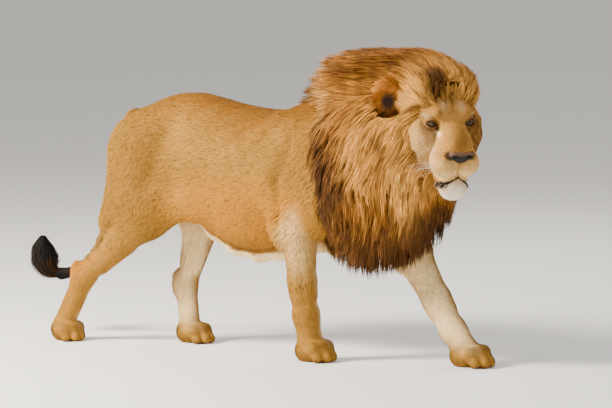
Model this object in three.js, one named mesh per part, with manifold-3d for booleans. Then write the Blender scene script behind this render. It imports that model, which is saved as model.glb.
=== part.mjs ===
// A grown male lion, walking, at life size. Millimetres; +X is the way the lion walks, +Y its left,
// +Z up, and the floor it stands on is z = 0.
//
// The body is described once, as a smooth field made of muscles and bones: rounded cones and
// ellipsoids that melt into each other. Each sub-part is a stretch of that one field, turned into
// facets on a grid of its own fineness and parted from its neighbours by thin cuts.
import * as THREE from "three";
import { mergeVertices } from "three/addons/utils/BufferGeometryUtils.js";
import Module from "manifold-3d";

const wasm = await Module();
wasm.setup();

const point = (x, y, z) => new THREE.Vector3(x, y, z);
const degrees = THREE.MathUtils.degToRad;

// ---------------------------------------------------------------- driving dimensions
const GAP = 0.3; // clear space kept between touching solids
const RIGHT = -1;
const LEFT = 1;

// Trunk: stations along the spine, as [x, top, bottom, half width].
const TRUNK = [
  [-865, 780, 680, 30],
  [-815, 850, 600, 80],
  [-755, 910, 545, 120],
  [-675, 962, 510, 145],
  [-580, 993, 490, 155],
  [-480, 1000, 475, 162],
  [-400, 988, 415, 172],
  [-300, 968, 365, 187],
  [-200, 955, 352, 197],
  [-100, 952, 365, 197],
  [0, 960, 385, 187],
  [100, 970, 405, 172],
  [200, 955, 440, 150],
  [280, 910, 500, 120],
  [340, 840, 580, 60],
];
const TRUNK_SQUARENESS = 2.1; // exponent of the superellipse sections: 2 is an ellipse

// Neck: from between the shoulder blades to the back of the skull.
const NECK = { from: point(120, 0, 780), to: point(515, -10, 930), radii: [190, 130], flat: 0.85 };

// Hind legs: joint centres, then the ball of the foot and the tip of the toes.
const HIND = {
  right: {
    side: RIGHT,
    hip: point(-718, -85, 770),
    knee: point(-645, -145, 510),
    hock: point(-945, -140, 265),
    ball: point(-1052, -130, 50),
    toe: point(-962, -140, 0),
  },
  left: {
    side: LEFT,
    hip: point(-718, 85, 770),
    knee: point(-545, 145, 540),
    hock: point(-628, 100, 225),
    ball: point(-600, 85, 50),
    toe: point(-490, 80, 0),
  },
};

// Forelegs: top of the shoulder blade, point of the shoulder, elbow, wrist, ball and toe tips.
const FORE = {
  right: {
    side: RIGHT,
    blade: point(-20, -105, 850),
    shoulder: point(215, -145, 660),
    elbow: point(55, -155, 500),
    wrist: point(82, -125, 175),
    ball: point(100, -120, 50),
    toe: point(210, -125, 0),
  },
  left: {
    side: LEFT,
    blade: point(20, 105, 850),
    shoulder: point(270, 145, 650),
    elbow: point(395, 130, 415),
    wrist: point(610, 90, 130),
    ball: point(675, 75, 50),
    toe: point(800, 65, 0),
  },
};
const HIND_PAW = { halfWidth: 50, size: 0.92 };
const FORE_PAW = { halfWidth: 55, size: 1.0 };
const PAD_SINK = 14; // how far the pad's middle lies below the ball joint, so that it flattens
const TOE_HEIGHT = 21; // middle of a toe tip above the floor
const TOES = [-1.5, -0.5, 0.5, 1.5]; // the four toes, counted out from the middle of the paw

// Tail: centre line and radius, from the croup to the tip of the tuft.
const TAIL = [
  [-790, 0, 875, 46],
  [-858, 4, 795, 40],
  [-908, 16, 680, 28],
  [-950, 34, 490, 22],
  [-1012, 34, 345, 19],
  [-1095, 20, 264, 18],
  [-1160, 5, 243, 24],
  [-1200, -8, 255, 41],
  [-1228, -15, 295, 47],
  [-1236, -20, 345, 36],
  [-1232, -24, 392, 9],
];
const TAIL_PARTS = [
  ["tail_base", 0, 0.3],
  ["tail_middle", 0.3, 0.5],
  ["tail_end", 0.5, 0.685],
  ["tail_tuft", 0.685, 1],
];

// Head: its own frame has its origin midway between the eyes, x to the nose, y left, z up.
const HEAD_ORIGIN = point(720, -120, 946);
const HEAD_YAW = degrees(-35); // turned to the lion's right
const HEAD_PITCH = degrees(8); // nose lowered
const EYE = { x: -2, y: 74, z: 0, radius: 20 };
const EAR = {
  x: -201, y: 163, z: 60, radii: [32, 54, 66], lean: degrees(15), turn: degrees(25), hollow: 0.76,
};
const NOSE = { at: [119, 0, -98], radii: [20, 48, 25] };
const MOUTH = { throatX: -60, cornerX: 15, cornerZ: -208, frontX: 220, lipZ: -180 };

// Fineness of the facets: cell sizes along x, y and z, and the room left round a limb's joints.
const LOWER_LEG_FACETS = [36, 34, 64];
const LOWER_LEG_ROOM = [150, 110, 110];
const PAW_FACETS = [30, 24, 24];
const PAW_ROOM = [110, 110, 80];
const TAIL_RINGS = 36;
const TAIL_SIDES = 8;
const BODY_FACETS = [96, 56, 60];
const FACE_FACETS = [37, 35, 35];
const MANE_FACETS = [82, 78, 88];
const HEAD_START = -235; // where the neck ends, along the head's own x
const FACE_START = -75; // where the skull ends and the face begins
const NECK_CUT = { at: point(300, 0, 800), direction: point(0.9, 0, 0.25) };
const SKIN_CLEARANCE = 0.6; // space between the mane's inner face and the body under it
const LEG_INNER_FACE = { slope: 0.21, offset: -90 }; // |y| = offset + slope * z

const COAT = { color: 0xb98d58, roughness: 0.9 };
const PALE_COAT = { color: 0xcdb38a, roughness: 0.9 };
const MANE_COAT = { color: 0x9a6a34, roughness: 0.95 };
const DARK_MANE_COAT = { color: 0x4a3020, roughness: 0.95 };
const BLACK_HAIR = { color: 0x1d1815, roughness: 0.9 };
const EYE_GLASS = { color: 0x7a4d1c, roughness: 0.15 };
const NOSE_LEATHER = { color: 0x3a2a24, roughness: 0.5 };

// ---------------------------------------------------------------- the field and its shapes
/** Smaller of two distances, with a fillet as wide as the blend. */
function melt(a, b, blend) {
  const h = Math.max(blend - Math.abs(a - b), 0) / blend;
  return Math.min(a, b) - (h * h * blend) / 4;
}

/** Rounded cone from a to b, its section flattened sideways. */
class Cone {
  constructor(a, b, radiusA, radiusB, { flat = 1, blend = 40 } = {}) {
    Object.assign(this, { a, radiusA, radiusB, flat, blend });
    this.axis = b.clone().sub(a);
    this.axis.y /= flat;
    const reach = Math.max(radiusA, radiusB);
    this.box = new THREE.Box3().setFromPoints([a, b]).expandByScalar(reach);
  }

  distance(x, y, z) {
    const { a, axis } = this;
    const dx = x - a.x;
    const dy = (y - a.y) / this.flat;
    const dz = z - a.z;
    const along = (dx * axis.x + dy * axis.y + dz * axis.z) / axis.lengthSq();
    const t = Math.min(Math.max(along, 0), 1);
    const off = Math.hypot(dx - t * axis.x, dy - t * axis.y, dz - t * axis.z);
    return (off - this.radiusA - (this.radiusB - this.radiusA) * t) * Math.sqrt(this.flat);
  }
}

/** Ellipsoid with its own radii and turn; carve takes it away instead of adding it. */
class Ball {
  constructor(centre, radii, { blend = 40, turn = new THREE.Matrix3(), carve = false } = {}) {
    Object.assign(this, { centre, radii, blend, carve });
    this.turn = turn.elements;
    const e = this.turn;
    const half = point(
      Math.hypot(e[0] * radii[0], e[3] * radii[1], e[6] * radii[2]),
      Math.hypot(e[1] * radii[0], e[4] * radii[1], e[7] * radii[2]),
      Math.hypot(e[2] * radii[0], e[5] * radii[1], e[8] * radii[2]),
    );
    this.box = new THREE.Box3(centre.clone().sub(half), centre.clone().add(half));
  }

  distance(x, y, z) {
    const { centre, radii, turn } = this;
    const dx = x - centre.x;
    const dy = y - centre.y;
    const dz = z - centre.z;
    const u = (turn[0] * dx + turn[1] * dy + turn[2] * dz) / radii[0];
    const v = (turn[3] * dx + turn[4] * dy + turn[5] * dz) / radii[1];
    const w = (turn[6] * dx + turn[7] * dy + turn[8] * dz) / radii[2];
    const size = Math.hypot(u, v, w);
    const slope = Math.hypot(u / radii[0], v / radii[1], w / radii[2]);
    return (size * (size - 1)) / Math.max(slope, 1e-9);
  }
}

const NEAR = 20; // how far outside a shape's box and blend it still counts

/** A base distance and a list of shapes melted into it, one after the other. */
class Field {
  constructor(shapes, base = () => 1e4) {
    this.shapes = shapes;
    this.base = base;
    this.boxes = shapes.map((shape) => shape.box.clone().expandByScalar(shape.blend + NEAR));
  }

  at(x, y, z) {
    let value = this.base(x, y, z);
    this.shapes.forEach((shape, i) => {
      const { min, max } = this.boxes[i];
      if (x < min.x || y < min.y || z < min.z || x > max.x || y > max.y || z > max.z) return;
      const distance = shape.distance(x, y, z);
      if (shape.carve) value = -melt(-value, distance, shape.blend);
      else value = melt(value, distance, shape.blend);
    });
    return value;
  }
}

/** Smooth curve through the stations' values in one column, at x. */
function station(x, column) {
  const last = TRUNK.length - 1;
  let i = 0;
  while (i < last - 1 && x > TRUNK[i + 1][0]) i += 1;
  const slope = (k) => {
    const before = TRUNK[Math.max(k - 1, 0)];
    const after = TRUNK[Math.min(k + 1, last)];
    return (after[column] - before[column]) / (after[0] - before[0]);
  };
  const [x0, x1] = [TRUNK[i][0], TRUNK[i + 1][0]];
  const [y0, y1] = [TRUNK[i][column], TRUNK[i + 1][column]];
  const h = x1 - x0;
  const t = (x - x0) / h;
  const [t2, t3] = [t * t, t * t * t];
  const ends = (2 * t3 - 3 * t2 + 1) * y0 + (3 * t2 - 2 * t3) * y1;
  return ends + (t3 - 2 * t2 + t) * h * slope(i) + (t3 - t2) * h * slope(i + 1);
}

/** Distance to the trunk: superellipse sections along the spine, rounded off at both ends. */
function trunkDistance(x, y, z) {
  const [first, last] = [TRUNK[0][0], TRUNK.at(-1)[0]];
  const inside = Math.min(Math.max(x, first), last);
  const [top, bottom, halfWidth] = [1, 2, 3].map((column) => station(inside, column));
  const halfHeight = (top - bottom) / 2;
  const across = Math.abs(y / halfWidth) ** TRUNK_SQUARENESS;
  const upright = Math.abs((z - (top + bottom) / 2) / halfHeight) ** TRUNK_SQUARENESS;
  const size = (across + upright) ** (1 / TRUNK_SQUARENESS);
  const distance = (size - 1) * Math.min(halfWidth, halfHeight);
  const past = Math.abs(x - inside);
  return past > 0 ? Math.hypot(Math.max(distance, 0), past) : distance;
}

// ---------------------------------------------------------------- limbs
const between = (a, b, t) => a.clone().lerp(b, t);
const shifted = (a, x, y, z) => a.clone().add(point(x, y, z));

/** Pad and four two-jointed toes, from the ball of the foot to the toe tips. */
function pawShapes(ball, toe, { halfWidth, size }) {
  const forward = toe.clone().sub(ball).setZ(0);
  const length = forward.length();
  forward.normalize();
  const sideways = point(0, 0, 1).cross(forward);
  const turn = new THREE.Matrix3().set(
    forward.x, sideways.x, 0,
    forward.y, sideways.y, 0,
    0, 0, 1,
  );
  const pad = shifted(ball, 0, 0, -PAD_SINK * size);
  const radii = [60 * size, 1.15 * halfWidth * size, 50 * size];
  const shapes = [new Ball(pad, radii, { blend: 30, turn })];
  for (const place of TOES) {
    const outer = Math.abs(place) > 1;
    const base = ball.clone().addScaledVector(sideways, place * halfWidth * 0.52);
    const reach = length - 28 * size - (outer ? 22 : 0);
    const tip = ball.clone().addScaledVector(forward, reach);
    tip.addScaledVector(sideways, place * halfWidth * 0.6).setZ(TOE_HEIGHT * size);
    const knuckle = between(base, tip, 0.5).addScaledVector(forward, 10).setZ(52 * size);
    const girth = outer ? 0.9 : 1;
    shapes.push(new Cone(base, knuckle, 26 * size, 29 * size, { blend: 20 }));
    shapes.push(new Cone(knuckle, tip, 27 * size * girth, 24 * size * girth, { blend: 12 }));
  }
  return shapes;
}

/** Thigh, hamstring, calf, shin, heel and long foot of one hind leg, then its paw. */
function hindLegShapes({ hip, knee, hock, ball, toe }) {
  const calfEnd = shifted(hock, (knee.x - hock.x) * 0.28, 0, (knee.z - hock.z) * 0.28);
  return [
    new Cone(hip, shifted(knee, -25, 0, 55), 138, 105, { flat: 0.65, blend: 100 }),
    new Cone(shifted(hip, -55, 0, -60), shifted(between(knee, hock, 0.5), -25, 0, 100), 75, 55,
      { flat: 0.7, blend: 60 }),
    new Cone(shifted(knee, -18, 0, 0), calfEnd, 92, 48, { flat: 0.68, blend: 50 }),
    new Cone(between(knee, hock, 0.4), hock, 55, 45, { flat: 0.8, blend: 30 }),
    new Cone(shifted(hock, -35, 0, 35), shifted(hock, -30, 0, -20), 24, 28,
      { flat: 0.8, blend: 30 }),
    new Cone(hock, shifted(ball, 0, 0, 20), 46, 43, { flat: 0.85, blend: 30 }),
    ...pawShapes(ball, toe, HIND_PAW),
  ];
}

/** Shoulder blade, upper arm, back of the arm, forearm and wrist of one foreleg, then its paw. */
function foreLegShapes({ blade, shoulder, elbow, wrist, ball, toe }) {
  const forearmEnd = between(wrist, elbow, 0.3);
  return [
    new Cone(blade, shoulder, 90, 105, { flat: 0.55, blend: 80 }),
    new Cone(shoulder, shifted(elbow, 0, 0, 20), 105, 80, { flat: 0.65, blend: 60 }),
    new Cone(shifted(elbow, -70, 0, 200), shifted(elbow, -30, 0, 10), 90, 40,
      { flat: 0.55, blend: 60 }),
    new Cone(shifted(elbow, 15, 0, -20), forearmEnd, 76, 54, { flat: 0.82, blend: 40 }),
    new Cone(between(wrist, elbow, 0.4), wrist, 56, 50, { flat: 0.9, blend: 30 }),
    new Cone(wrist, shifted(ball, 0, 0, 15), 50, 50, { flat: 0.95, blend: 30 }),
    ...pawShapes(ball, toe, FORE_PAW),
  ];
}

/** Folds of loose skin between the belly and the front of each thigh. */
function flankShapes() {
  return [
    new Cone(point(-450, -130, 560), point(-620, -145, 520), 40, 50, { flat: 0.5, blend: 80 }),
    new Cone(point(-420, 130, 560), point(-530, 145, 540), 40, 50, { flat: 0.5, blend: 80 }),
  ];
}

// ---------------------------------------------------------------- head
const headTurn = (() => {
  const [cy, sy, cp, sp] = [
    Math.cos(HEAD_YAW), Math.sin(HEAD_YAW), Math.cos(HEAD_PITCH), Math.sin(HEAD_PITCH),
  ];
  const forward = point(cy * cp, sy * cp, -sp);
  const sideways = point(-sy, cy, 0);
  const upward = forward.clone().cross(sideways);
  return new THREE.Matrix4().makeBasis(forward, sideways, upward);
})();
const headTurn3 = new THREE.Matrix3().setFromMatrix4(headTurn);

/** A point given in the head's own frame, in the lion's frame. */
const onHead = (x, y, z) => point(x, y, z).applyMatrix4(headTurn).add(HEAD_ORIGIN);

/** Ellipsoid placed and turned with the head. */
function headBall(at, radii, options = {}) {
  return new Ball(onHead(...at), radii, { turn: headTurn3, blend: 30, ...options });
}

/** Rounded cone between two points of the head. */
function headCone(from, to, radiusA, radiusB, blend = 30) {
  return new Cone(onHead(...from), onHead(...to), radiusA, radiusB, { blend });
}

/** Skull, cheeks, brows, muzzle, whisker pads and chin, with the eye sockets taken out. */
function headShapes() {
  const shapes = [
    headBall([-130, 0, 12], [132, 116, 106]),
    headBall([-45, 0, 42], [74, 86, 54], { blend: 50 }),
  ];
  for (const side of [RIGHT, LEFT]) {
    shapes.push(headBall([-62, side * 104, -52], [88, 48, 60], { blend: 50 }));
    shapes.push(headBall([-85, side * 84, -132], [84, 56, 76], { blend: 50 }));
    shapes.push(headCone([-36, side * 84, 44], [16, side * 50, 36], 24, 20));
    shapes.push(headCone([-170, side * 75, 42], [-198, side * 138, 62], 62, 38, 40));
  }
  shapes.push(headBall([36, 0, -92], [94, 76, 74]));
  shapes.push(headCone([-20, 0, 12], [100, 0, -62], 42, 38));
  for (const side of [RIGHT, LEFT]) {
    shapes.push(headCone([-20, side * 24, 8], [100, side * 22, -68], 31, 28, 20));
  }
  for (const side of [RIGHT, LEFT]) {
    shapes.push(headBall([66, side * 44, -138], [66, 50, 51], { blend: 25 }));
  }
  shapes.push(headCone([-30, 0, -165], [56, 0, -206], 72, 50));
  shapes.push(headBall([64, 0, -222], [46, 54, 44], { blend: 25 }));
  for (const side of [RIGHT, LEFT]) {
    shapes.push(headBall([26, side * 86, -4], [38, 26, 20], { blend: 20, carve: true }));
  }
  return shapes;
}

// ---------------------------------------------------------------- mane
const MANE_AXIS = [430, -20]; // x and y of the upright line the locks fan out from
const LOCKS = 8; // locks round that line
const LOCK_DEPTH = [4, 34]; // grooves between the locks, at the crown and at the lowest tips

/** Ruff round the face, crown, nape, sides of the neck and the apron that hangs on the chest. */
function maneShapes() {
  const shapes = [
    headBall([-150, 0, -30], [125, 196, 190], { blend: 80 }),
    headBall([-125, 0, 110], [150, 160, 122], { blend: 60 }),
    new Ball(point(365, 0, 1005), [270, 160, 205], { blend: 80 }),
    new Ball(point(120, 0, 985), [165, 70, 80], { blend: 60 }),
    new Ball(point(520, -10, 1070), [150, 145, 140], { blend: 60 }),
    new Ball(point(350, -25, 790), [315, 255, 300], { blend: 100 }),
    new Ball(point(325, -25, 540), [225, 205, 238], { blend: 100 }),
    new Ball(point(490, -55, 580), [170, 150, 200], { blend: 80 }),
    new Ball(point(600, -60, 680), [110, 120, 150], { blend: 60 }),
    headBall([50, 0, -66], [150, 130, 176], { blend: 60, carve: true }),
  ];
  for (const side of [RIGHT, LEFT]) {
    shapes.push(headBall([-140, side * 176, 62], [78, 54, 68], { blend: 25, carve: true }));
  }
  return shapes;
}

/** Depth of the groove between two locks at a point of the mane. */
function lockGroove(x, y, z) {
  const angle = Math.atan2(y - MANE_AXIS[1], x - MANE_AXIS[0]);
  const low = THREE.MathUtils.smoothstep(800 - z, 0, 450);
  const wave = 0.5 - 0.5 * Math.cos(LOCKS * angle + 0.012 * z);
  return wave * THREE.MathUtils.lerp(LOCK_DEPTH[0], LOCK_DEPTH[1], low);
}

// ---------------------------------------------------------------- facets
/** Position of every vertex moved onto the field's zero level. */
function settle(field, vertices, reach) {
  const step = 1;
  for (let i = 0; i < vertices.length; i += 3) {
    const start = vertices.slice(i, i + 3);
    let [x, y, z] = start;
    for (let round = 0; round < 4; round += 1) {
      const value = field(x, y, z);
      const gx = (field(x + step, y, z) - field(x - step, y, z)) / (2 * step);
      const gy = (field(x, y + step, z) - field(x, y - step, z)) / (2 * step);
      const gz = (field(x, y, z + step) - field(x, y, z - step)) / (2 * step);
      const scale = value / Math.max(gx * gx + gy * gy + gz * gz, 0.05);
      x -= gx * scale;
      y -= gy * scale;
      z -= gz * scale;
    }
    if (Math.hypot(x - start[0], y - start[1], z - start[2]) > reach) continue;
    vertices[i] = x;
    vertices[i + 1] = y;
    vertices[i + 2] = z;
  }
}

/** Whether every edge of a closed surface is shared by exactly two faces. */
function isSimple(faces, vertexCount) {
  const shares = new Map();
  for (let i = 0; i < faces.length; i += 3) {
    for (let c = 0; c < 3; c += 1) {
      const [a, b] = [faces[i + c], faces[i + ((c + 1) % 3)]];
      const key = Math.min(a, b) * vertexCount + Math.max(a, b);
      shares.set(key, (shares.get(key) ?? 0) + 1);
    }
  }
  return [...shares.values()].every((count) => count === 2);
}

/** Closed surface where the field is zero inside a box; the cells shrink until it is simple. */
function facets(field, box, spacing) {
  const surface = surfaceOf(field, box, spacing);
  if (isSimple(surface.faces, surface.vertices.length)) return surface;
  return facets(field, box, spacing.map((length) => length * 0.98));
}

/** Surface where the field is zero inside a box, with one vertex in each crossed cell. */
function surfaceOf(field, box, spacing) {
  const size = box.getSize(point(0, 0, 0)).toArray();
  const [nx, ny, nz] = size.map((length, i) => Math.ceil(length / spacing[i]) + 3);
  const low = box.min.toArray().map((value, i) => value - spacing[i]);
  const boxed = (x, y, z) => Math.max(
    field(x, y, z),
    box.min.x - x, x - box.max.x, box.min.y - y, y - box.max.y, box.min.z - z, z - box.max.z,
  );
  const index = (i, j, k) => (i * ny + j) * nz + k;
  const values = new Float64Array(nx * ny * nz);
  for (let i = 0; i < nx; i += 1) {
    for (let j = 0; j < ny; j += 1) {
      for (let k = 0; k < nz; k += 1) {
        values[index(i, j, k)] = boxed(
          low[0] + i * spacing[0], low[1] + j * spacing[1], low[2] + k * spacing[2],
        );
      }
    }
  }
  const sums = new Map();
  const quads = [];
  const steps = [[1, 0, 0], [0, 1, 0], [0, 0, 1]];
  for (let i = 1; i < nx - 1; i += 1) {
    for (let j = 1; j < ny - 1; j += 1) {
      for (let k = 1; k < nz - 1; k += 1) {
        for (let axis = 0; axis < 3; axis += 1) {
          const step = steps[axis];
          const a = values[index(i, j, k)];
          const b = values[index(i + step[0], j + step[1], k + step[2])];
          if (a < 0 === b < 0) continue;
          const t = a / (a - b);
          const crossing = [i + t * step[0], j + t * step[1], k + t * step[2]];
          const [p, q] = [steps[(axis + 1) % 3], steps[(axis + 2) % 3]];
          const cells = [[0, 0], [1, 0], [1, 1], [0, 1]].map(([m, n]) => index(
            i - m * p[0] - n * q[0], j - m * p[1] - n * q[1], k - m * p[2] - n * q[2],
          ));
          for (const cell of cells) {
            const sum = sums.get(cell) ?? [0, 0, 0, 0];
            crossing.forEach((value, c) => { sum[c] += value; });
            sum[3] += 1;
            sums.set(cell, sum);
          }
          quads.push(a < 0 ? cells : cells.reverse());
        }
      }
    }
  }
  const order = new Map();
  const vertices = [];
  for (const [cell, sum] of sums) {
    order.set(cell, order.size);
    for (let c = 0; c < 3; c += 1) vertices.push(low[c] + (sum[c] / sum[3]) * spacing[c]);
  }
  settle(boxed, vertices, Math.max(...spacing) * 0.6);
  const faces = quads.flatMap((quad) => {
    const [a, b, c, d] = quad.map((cell) => order.get(cell));
    const at = (n) => point(...vertices.slice(3 * n, 3 * n + 3));
    const shortAC = at(a).distanceTo(at(c)) <= at(b).distanceTo(at(d));
    return shortAC ? [a, b, c, a, c, d] : [a, b, d, b, c, d];
  });
  return { vertices, faces };
}

/** Solid of a closed surface. */
function solid({ vertices, faces }) {
  return new wasm.Manifold(new wasm.Mesh({
    numProp: 3,
    vertProperties: new Float32Array(vertices),
    triVerts: new Uint32Array(faces),
  }));
}

/** Solid of a closed three.js geometry, moved by a matrix. */
function solidOf(geometry, matrix = new THREE.Matrix4()) {
  const bare = geometry.clone().applyMatrix4(matrix);
  bare.deleteAttribute("normal");
  bare.deleteAttribute("uv");
  const merged = mergeVertices(bare, 1e-3);
  return solid({ vertices: merged.attributes.position.array, faces: merged.index.array });
}

/** The same surface with every vertex moved out along its mean normal. */
function grown({ vertices, faces }, by) {
  const geometry = new THREE.BufferGeometry();
  geometry.setAttribute("position", new THREE.BufferAttribute(new Float32Array(vertices), 3));
  geometry.setIndex(faces);
  geometry.computeVertexNormals();
  const normals = geometry.attributes.normal.array;
  return { vertices: vertices.map((value, i) => value + normals[i] * by), faces };
}

/** The largest separate body of a solid. */
function mainBody(cut) {
  return cut.decompose().reduce((a, b) => (a.volume() > b.volume() ? a : b));
}

const FAR = 4000;

/** Everything behind a plane: the plane passes through a point and faces along a direction. */
function behind(at, direction) {
  const turn = new THREE.Quaternion().setFromUnitVectors(point(0, 0, 1), direction.clone().normalize());
  const centre = direction.clone().normalize().multiplyScalar(-FAR / 2).add(at);
  const matrix = new THREE.Matrix4().compose(centre, turn, point(1, 1, 1));
  return solidOf(new THREE.BoxGeometry(FAR, FAR, FAR), matrix);
}

/** Both sides of a thin planar cut: the piece behind the plane and the piece ahead of it. */
function parted(body, { at, direction }) {
  const unit = direction.clone().normalize();
  const back = at.clone().addScaledVector(unit, -GAP / 2);
  const front = at.clone().addScaledVector(unit, GAP / 2);
  return [
    body.intersect(behind(back, unit)),
    body.intersect(behind(front, unit.clone().negate())),
  ];
}

/** Convex outline round circles given as [x, z, radius], each made larger by a margin. */
function outlineRound(circles, margin) {
  const points = circles.flatMap(([x, z, radius]) => Array.from({ length: 16 }, (_, i) => {
    const angle = (i * Math.PI) / 8;
    return new THREE.Vector2(
      x + (radius + margin) * Math.cos(angle), z + (radius + margin) * Math.sin(angle),
    );
  }));
  points.sort((a, b) => a.x - b.x || a.y - b.y);
  const half = (list) => {
    const hull = [];
    for (const next of list) {
      while (hull.length > 1) {
        const [p, q] = hull.slice(-2);
        if ((q.x - p.x) * (next.y - p.y) - (q.y - p.y) * (next.x - p.x) > 0) break;
        hull.pop();
      }
      hull.push(next);
    }
    return hull.slice(0, -1);
  };
  return new THREE.Shape([...half(points), ...half(points.reverse())]);
}

/** Block that holds one leg: its outline seen from the side, from a slanting inner face outward. */
function legBlock(side, circles, margin) {
  const depth = 500;
  const geometry = new THREE.ExtrudeGeometry(outlineRound(circles, margin),
    { depth, bevelEnabled: false, steps: 1 });
  geometry.rotateX(Math.PI / 2); // outline stands upright, depth runs to -y
  geometry.translate(0, side === RIGHT ? margin : depth - margin, 0);
  const lean = new THREE.Matrix4().makeShear(0, 0, 0, 0, 0, side * LEG_INNER_FACE.slope);
  const shift = new THREE.Matrix4().makeTranslation(0, side * LEG_INNER_FACE.offset, 0);
  return solidOf(geometry, shift.multiply(lean));
}

/** Mesh of one sub-part. */
function part(name, body, look) {
  const { vertProperties, triVerts, numProp } = body.getMesh();
  const positions = new Float32Array((vertProperties.length / numProp) * 3);
  for (let i = 0; i < positions.length / 3; i += 1) {
    for (let c = 0; c < 3; c += 1) positions[3 * i + c] = vertProperties[numProp * i + c];
  }
  const geometry = new THREE.BufferGeometry();
  geometry.setAttribute("position", new THREE.BufferAttribute(positions, 3));
  geometry.setIndex([...triVerts]);
  geometry.computeVertexNormals();
  const material = new THREE.MeshStandardMaterial({ metalness: 0, ...look });
  const mesh = new THREE.Mesh(geometry, material);
  mesh.name = name;
  return mesh;
}

// ---------------------------------------------------------------- build
const fleshField = new Field([
  ...hindLegShapes(HIND.right),
  ...hindLegShapes(HIND.left),
  ...foreLegShapes(FORE.right),
  ...foreLegShapes(FORE.left),
  new Cone(NECK.from, NECK.to, ...NECK.radii, { flat: NECK.flat, blend: 80 }),
  ...flankShapes(),
  ...headShapes(),
], trunkDistance);
const flesh = (x, y, z) => fleshField.at(x, y, z);

const maneField = new Field(maneShapes());
const mane = (x, y, z) => maneField.at(x, y, z) + lockGroove(x, y, z);

const boxOf = (min, max) => new THREE.Box3(point(...min), point(...max));
const skinGrown = (facetSet) => solid(grown(facetSet, SKIN_CLEARANCE)).add(solid(facetSet));
const lion = new THREE.Group();
const maneNeighbours = [];

const bodyFacets = facets(flesh, boxOf([-960, -330, 300], [790, 330, 1130]), BODY_FACETS);
const faceFacets = facets(flesh, boxOf([540, -400, 600], [1000, 160, 1130]), FACE_FACETS);
const headForward = onHead(1, 0, 0).sub(HEAD_ORIGIN);
const faceCut = { at: onHead(FACE_START, 0, 0), direction: headForward };
const nearFace = { at: onHead(FACE_START - 15, 0, 0), direction: headForward };
maneNeighbours.push(skinGrown(bodyFacets), parted(skinGrown(faceFacets), nearFace)[1]);
const [body] = parted(solid(bodyFacets), faceCut);
let [, face] = parted(solid(faceFacets), faceCut);

/** Facets of the stretch of a limb between two joints, with room for the flesh round them. */
function limbFacets(from, to, room, spacing) {
  const box = new THREE.Box3().setFromPoints([from, to]);
  box.expandByVector(point(...room));
  return facets(flesh, box, spacing);
}

/** The parts of one leg, parted at its cuts, added to the lion; returns the block round it. */
function addLeg(joints, { circles, lower, foot, cuts, names }) {
  const block = legBlock(joints.side, circles, 0);
  const lowerFacets = limbFacets(...lower, LOWER_LEG_ROOM, LOWER_LEG_FACETS);
  const footFacets = limbFacets(...foot, PAW_ROOM, PAW_FACETS);
  maneNeighbours.push(skinGrown(lowerFacets));
  const [upper] = parted(body.intersect(block), cuts[0]);
  const pieces = [upper];
  let [, rest] = parted(solid(lowerFacets).intersect(block), cuts[0]);
  for (const cut of cuts.slice(1)) {
    const [piece, next] = parted(rest, cut);
    pieces.push(piece);
    rest = next;
  }
  const [, paw] = parted(solid(footFacets), cuts.at(-1));
  pieces.push(paw.intersect(behind(point(0, 0, 0), point(0, 0, -1))));
  pieces.forEach((piece, i) => {
    lion.add(part(names[i], mainBody(piece), i === 0 ? COAT : PALE_COAT));
  });
  return legBlock(joints.side, circles, GAP);
}

/** A cut across the limb from one joint to the next, part of the way along. */
function cutBetween(from, to, share) {
  return { at: between(from, to, share), direction: to.clone().sub(from) };
}

const legBlocks = [];
for (const [side, joints] of Object.entries(HIND)) {
  const { hip, knee, hock, ball, toe } = joints;
  legBlocks.push(addLeg(joints, {
    circles: [
      [hip.x - 10, hip.z - 15, 165],
      [knee.x - 5, knee.z, 135],
      [hock.x, hock.z, 130],
      [ball.x, ball.z - 150, 160],
    ],
    lower: [between(knee, hock, 0.2), between(hock, ball, 0.85)],
    foot: [between(hock, ball, 0.85), toe],
    cuts: [
      cutBetween(knee, hock, 0.25), cutBetween(knee, ball, 0.62), cutBetween(hock, ball, 0.72),
    ],
    names: ["thigh", "shank", "hock", "hind_paw"].map((name) => `${name}_${side}`),
  }));
}
for (const [side, joints] of Object.entries(FORE)) {
  const { blade, shoulder, elbow, wrist, ball, toe } = joints;
  legBlocks.push(addLeg(joints, {
    circles: [
      [blade.x + 30, blade.z - 20, 105],
      [shoulder.x - 10, shoulder.z, 125],
      [elbow.x - 5, elbow.z, 125],
      [wrist.x, wrist.z, 130],
      [ball.x + 40, ball.z - 150, 160],
    ],
    lower: [between(elbow, wrist, 0.1), wrist],
    foot: [between(wrist, ball, 0.3), toe],
    cuts: [cutBetween(elbow, wrist, 0.14), cutBetween(elbow, ball, 0.78)],
    names: ["shoulder", "forearm", "front_paw"].map((name) => `${name}_${side}`),
  }));
}

const legless = legBlocks.reduce((rest, block) => rest.subtract(block), body);
const [trunk, neckAndHead] = parted(legless, NECK_CUT);
const [neck, head] = parted(neckAndHead, { at: onHead(HEAD_START, 0, 0), direction: headForward });
lion.add(part("trunk", mainBody(trunk), COAT), part("neck", mainBody(neck), COAT));
lion.add(part("head", mainBody(head), COAT));

/** Solid ellipsoid on the head, tilted about the head's own axes. */
function headEllipsoid(at, radii, tilt = new THREE.Euler(), margin = 0) {
  const place = new THREE.Matrix4().makeTranslation(...at)
    .multiply(new THREE.Matrix4().makeRotationFromEuler(tilt))
    .multiply(new THREE.Matrix4().makeScale(...radii.map((radius) => radius + margin)));
  const onBody = new THREE.Matrix4().setPosition(HEAD_ORIGIN).multiply(headTurn).multiply(place);
  return solidOf(new THREE.SphereGeometry(1, 9, 6), onBody);
}

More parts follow.
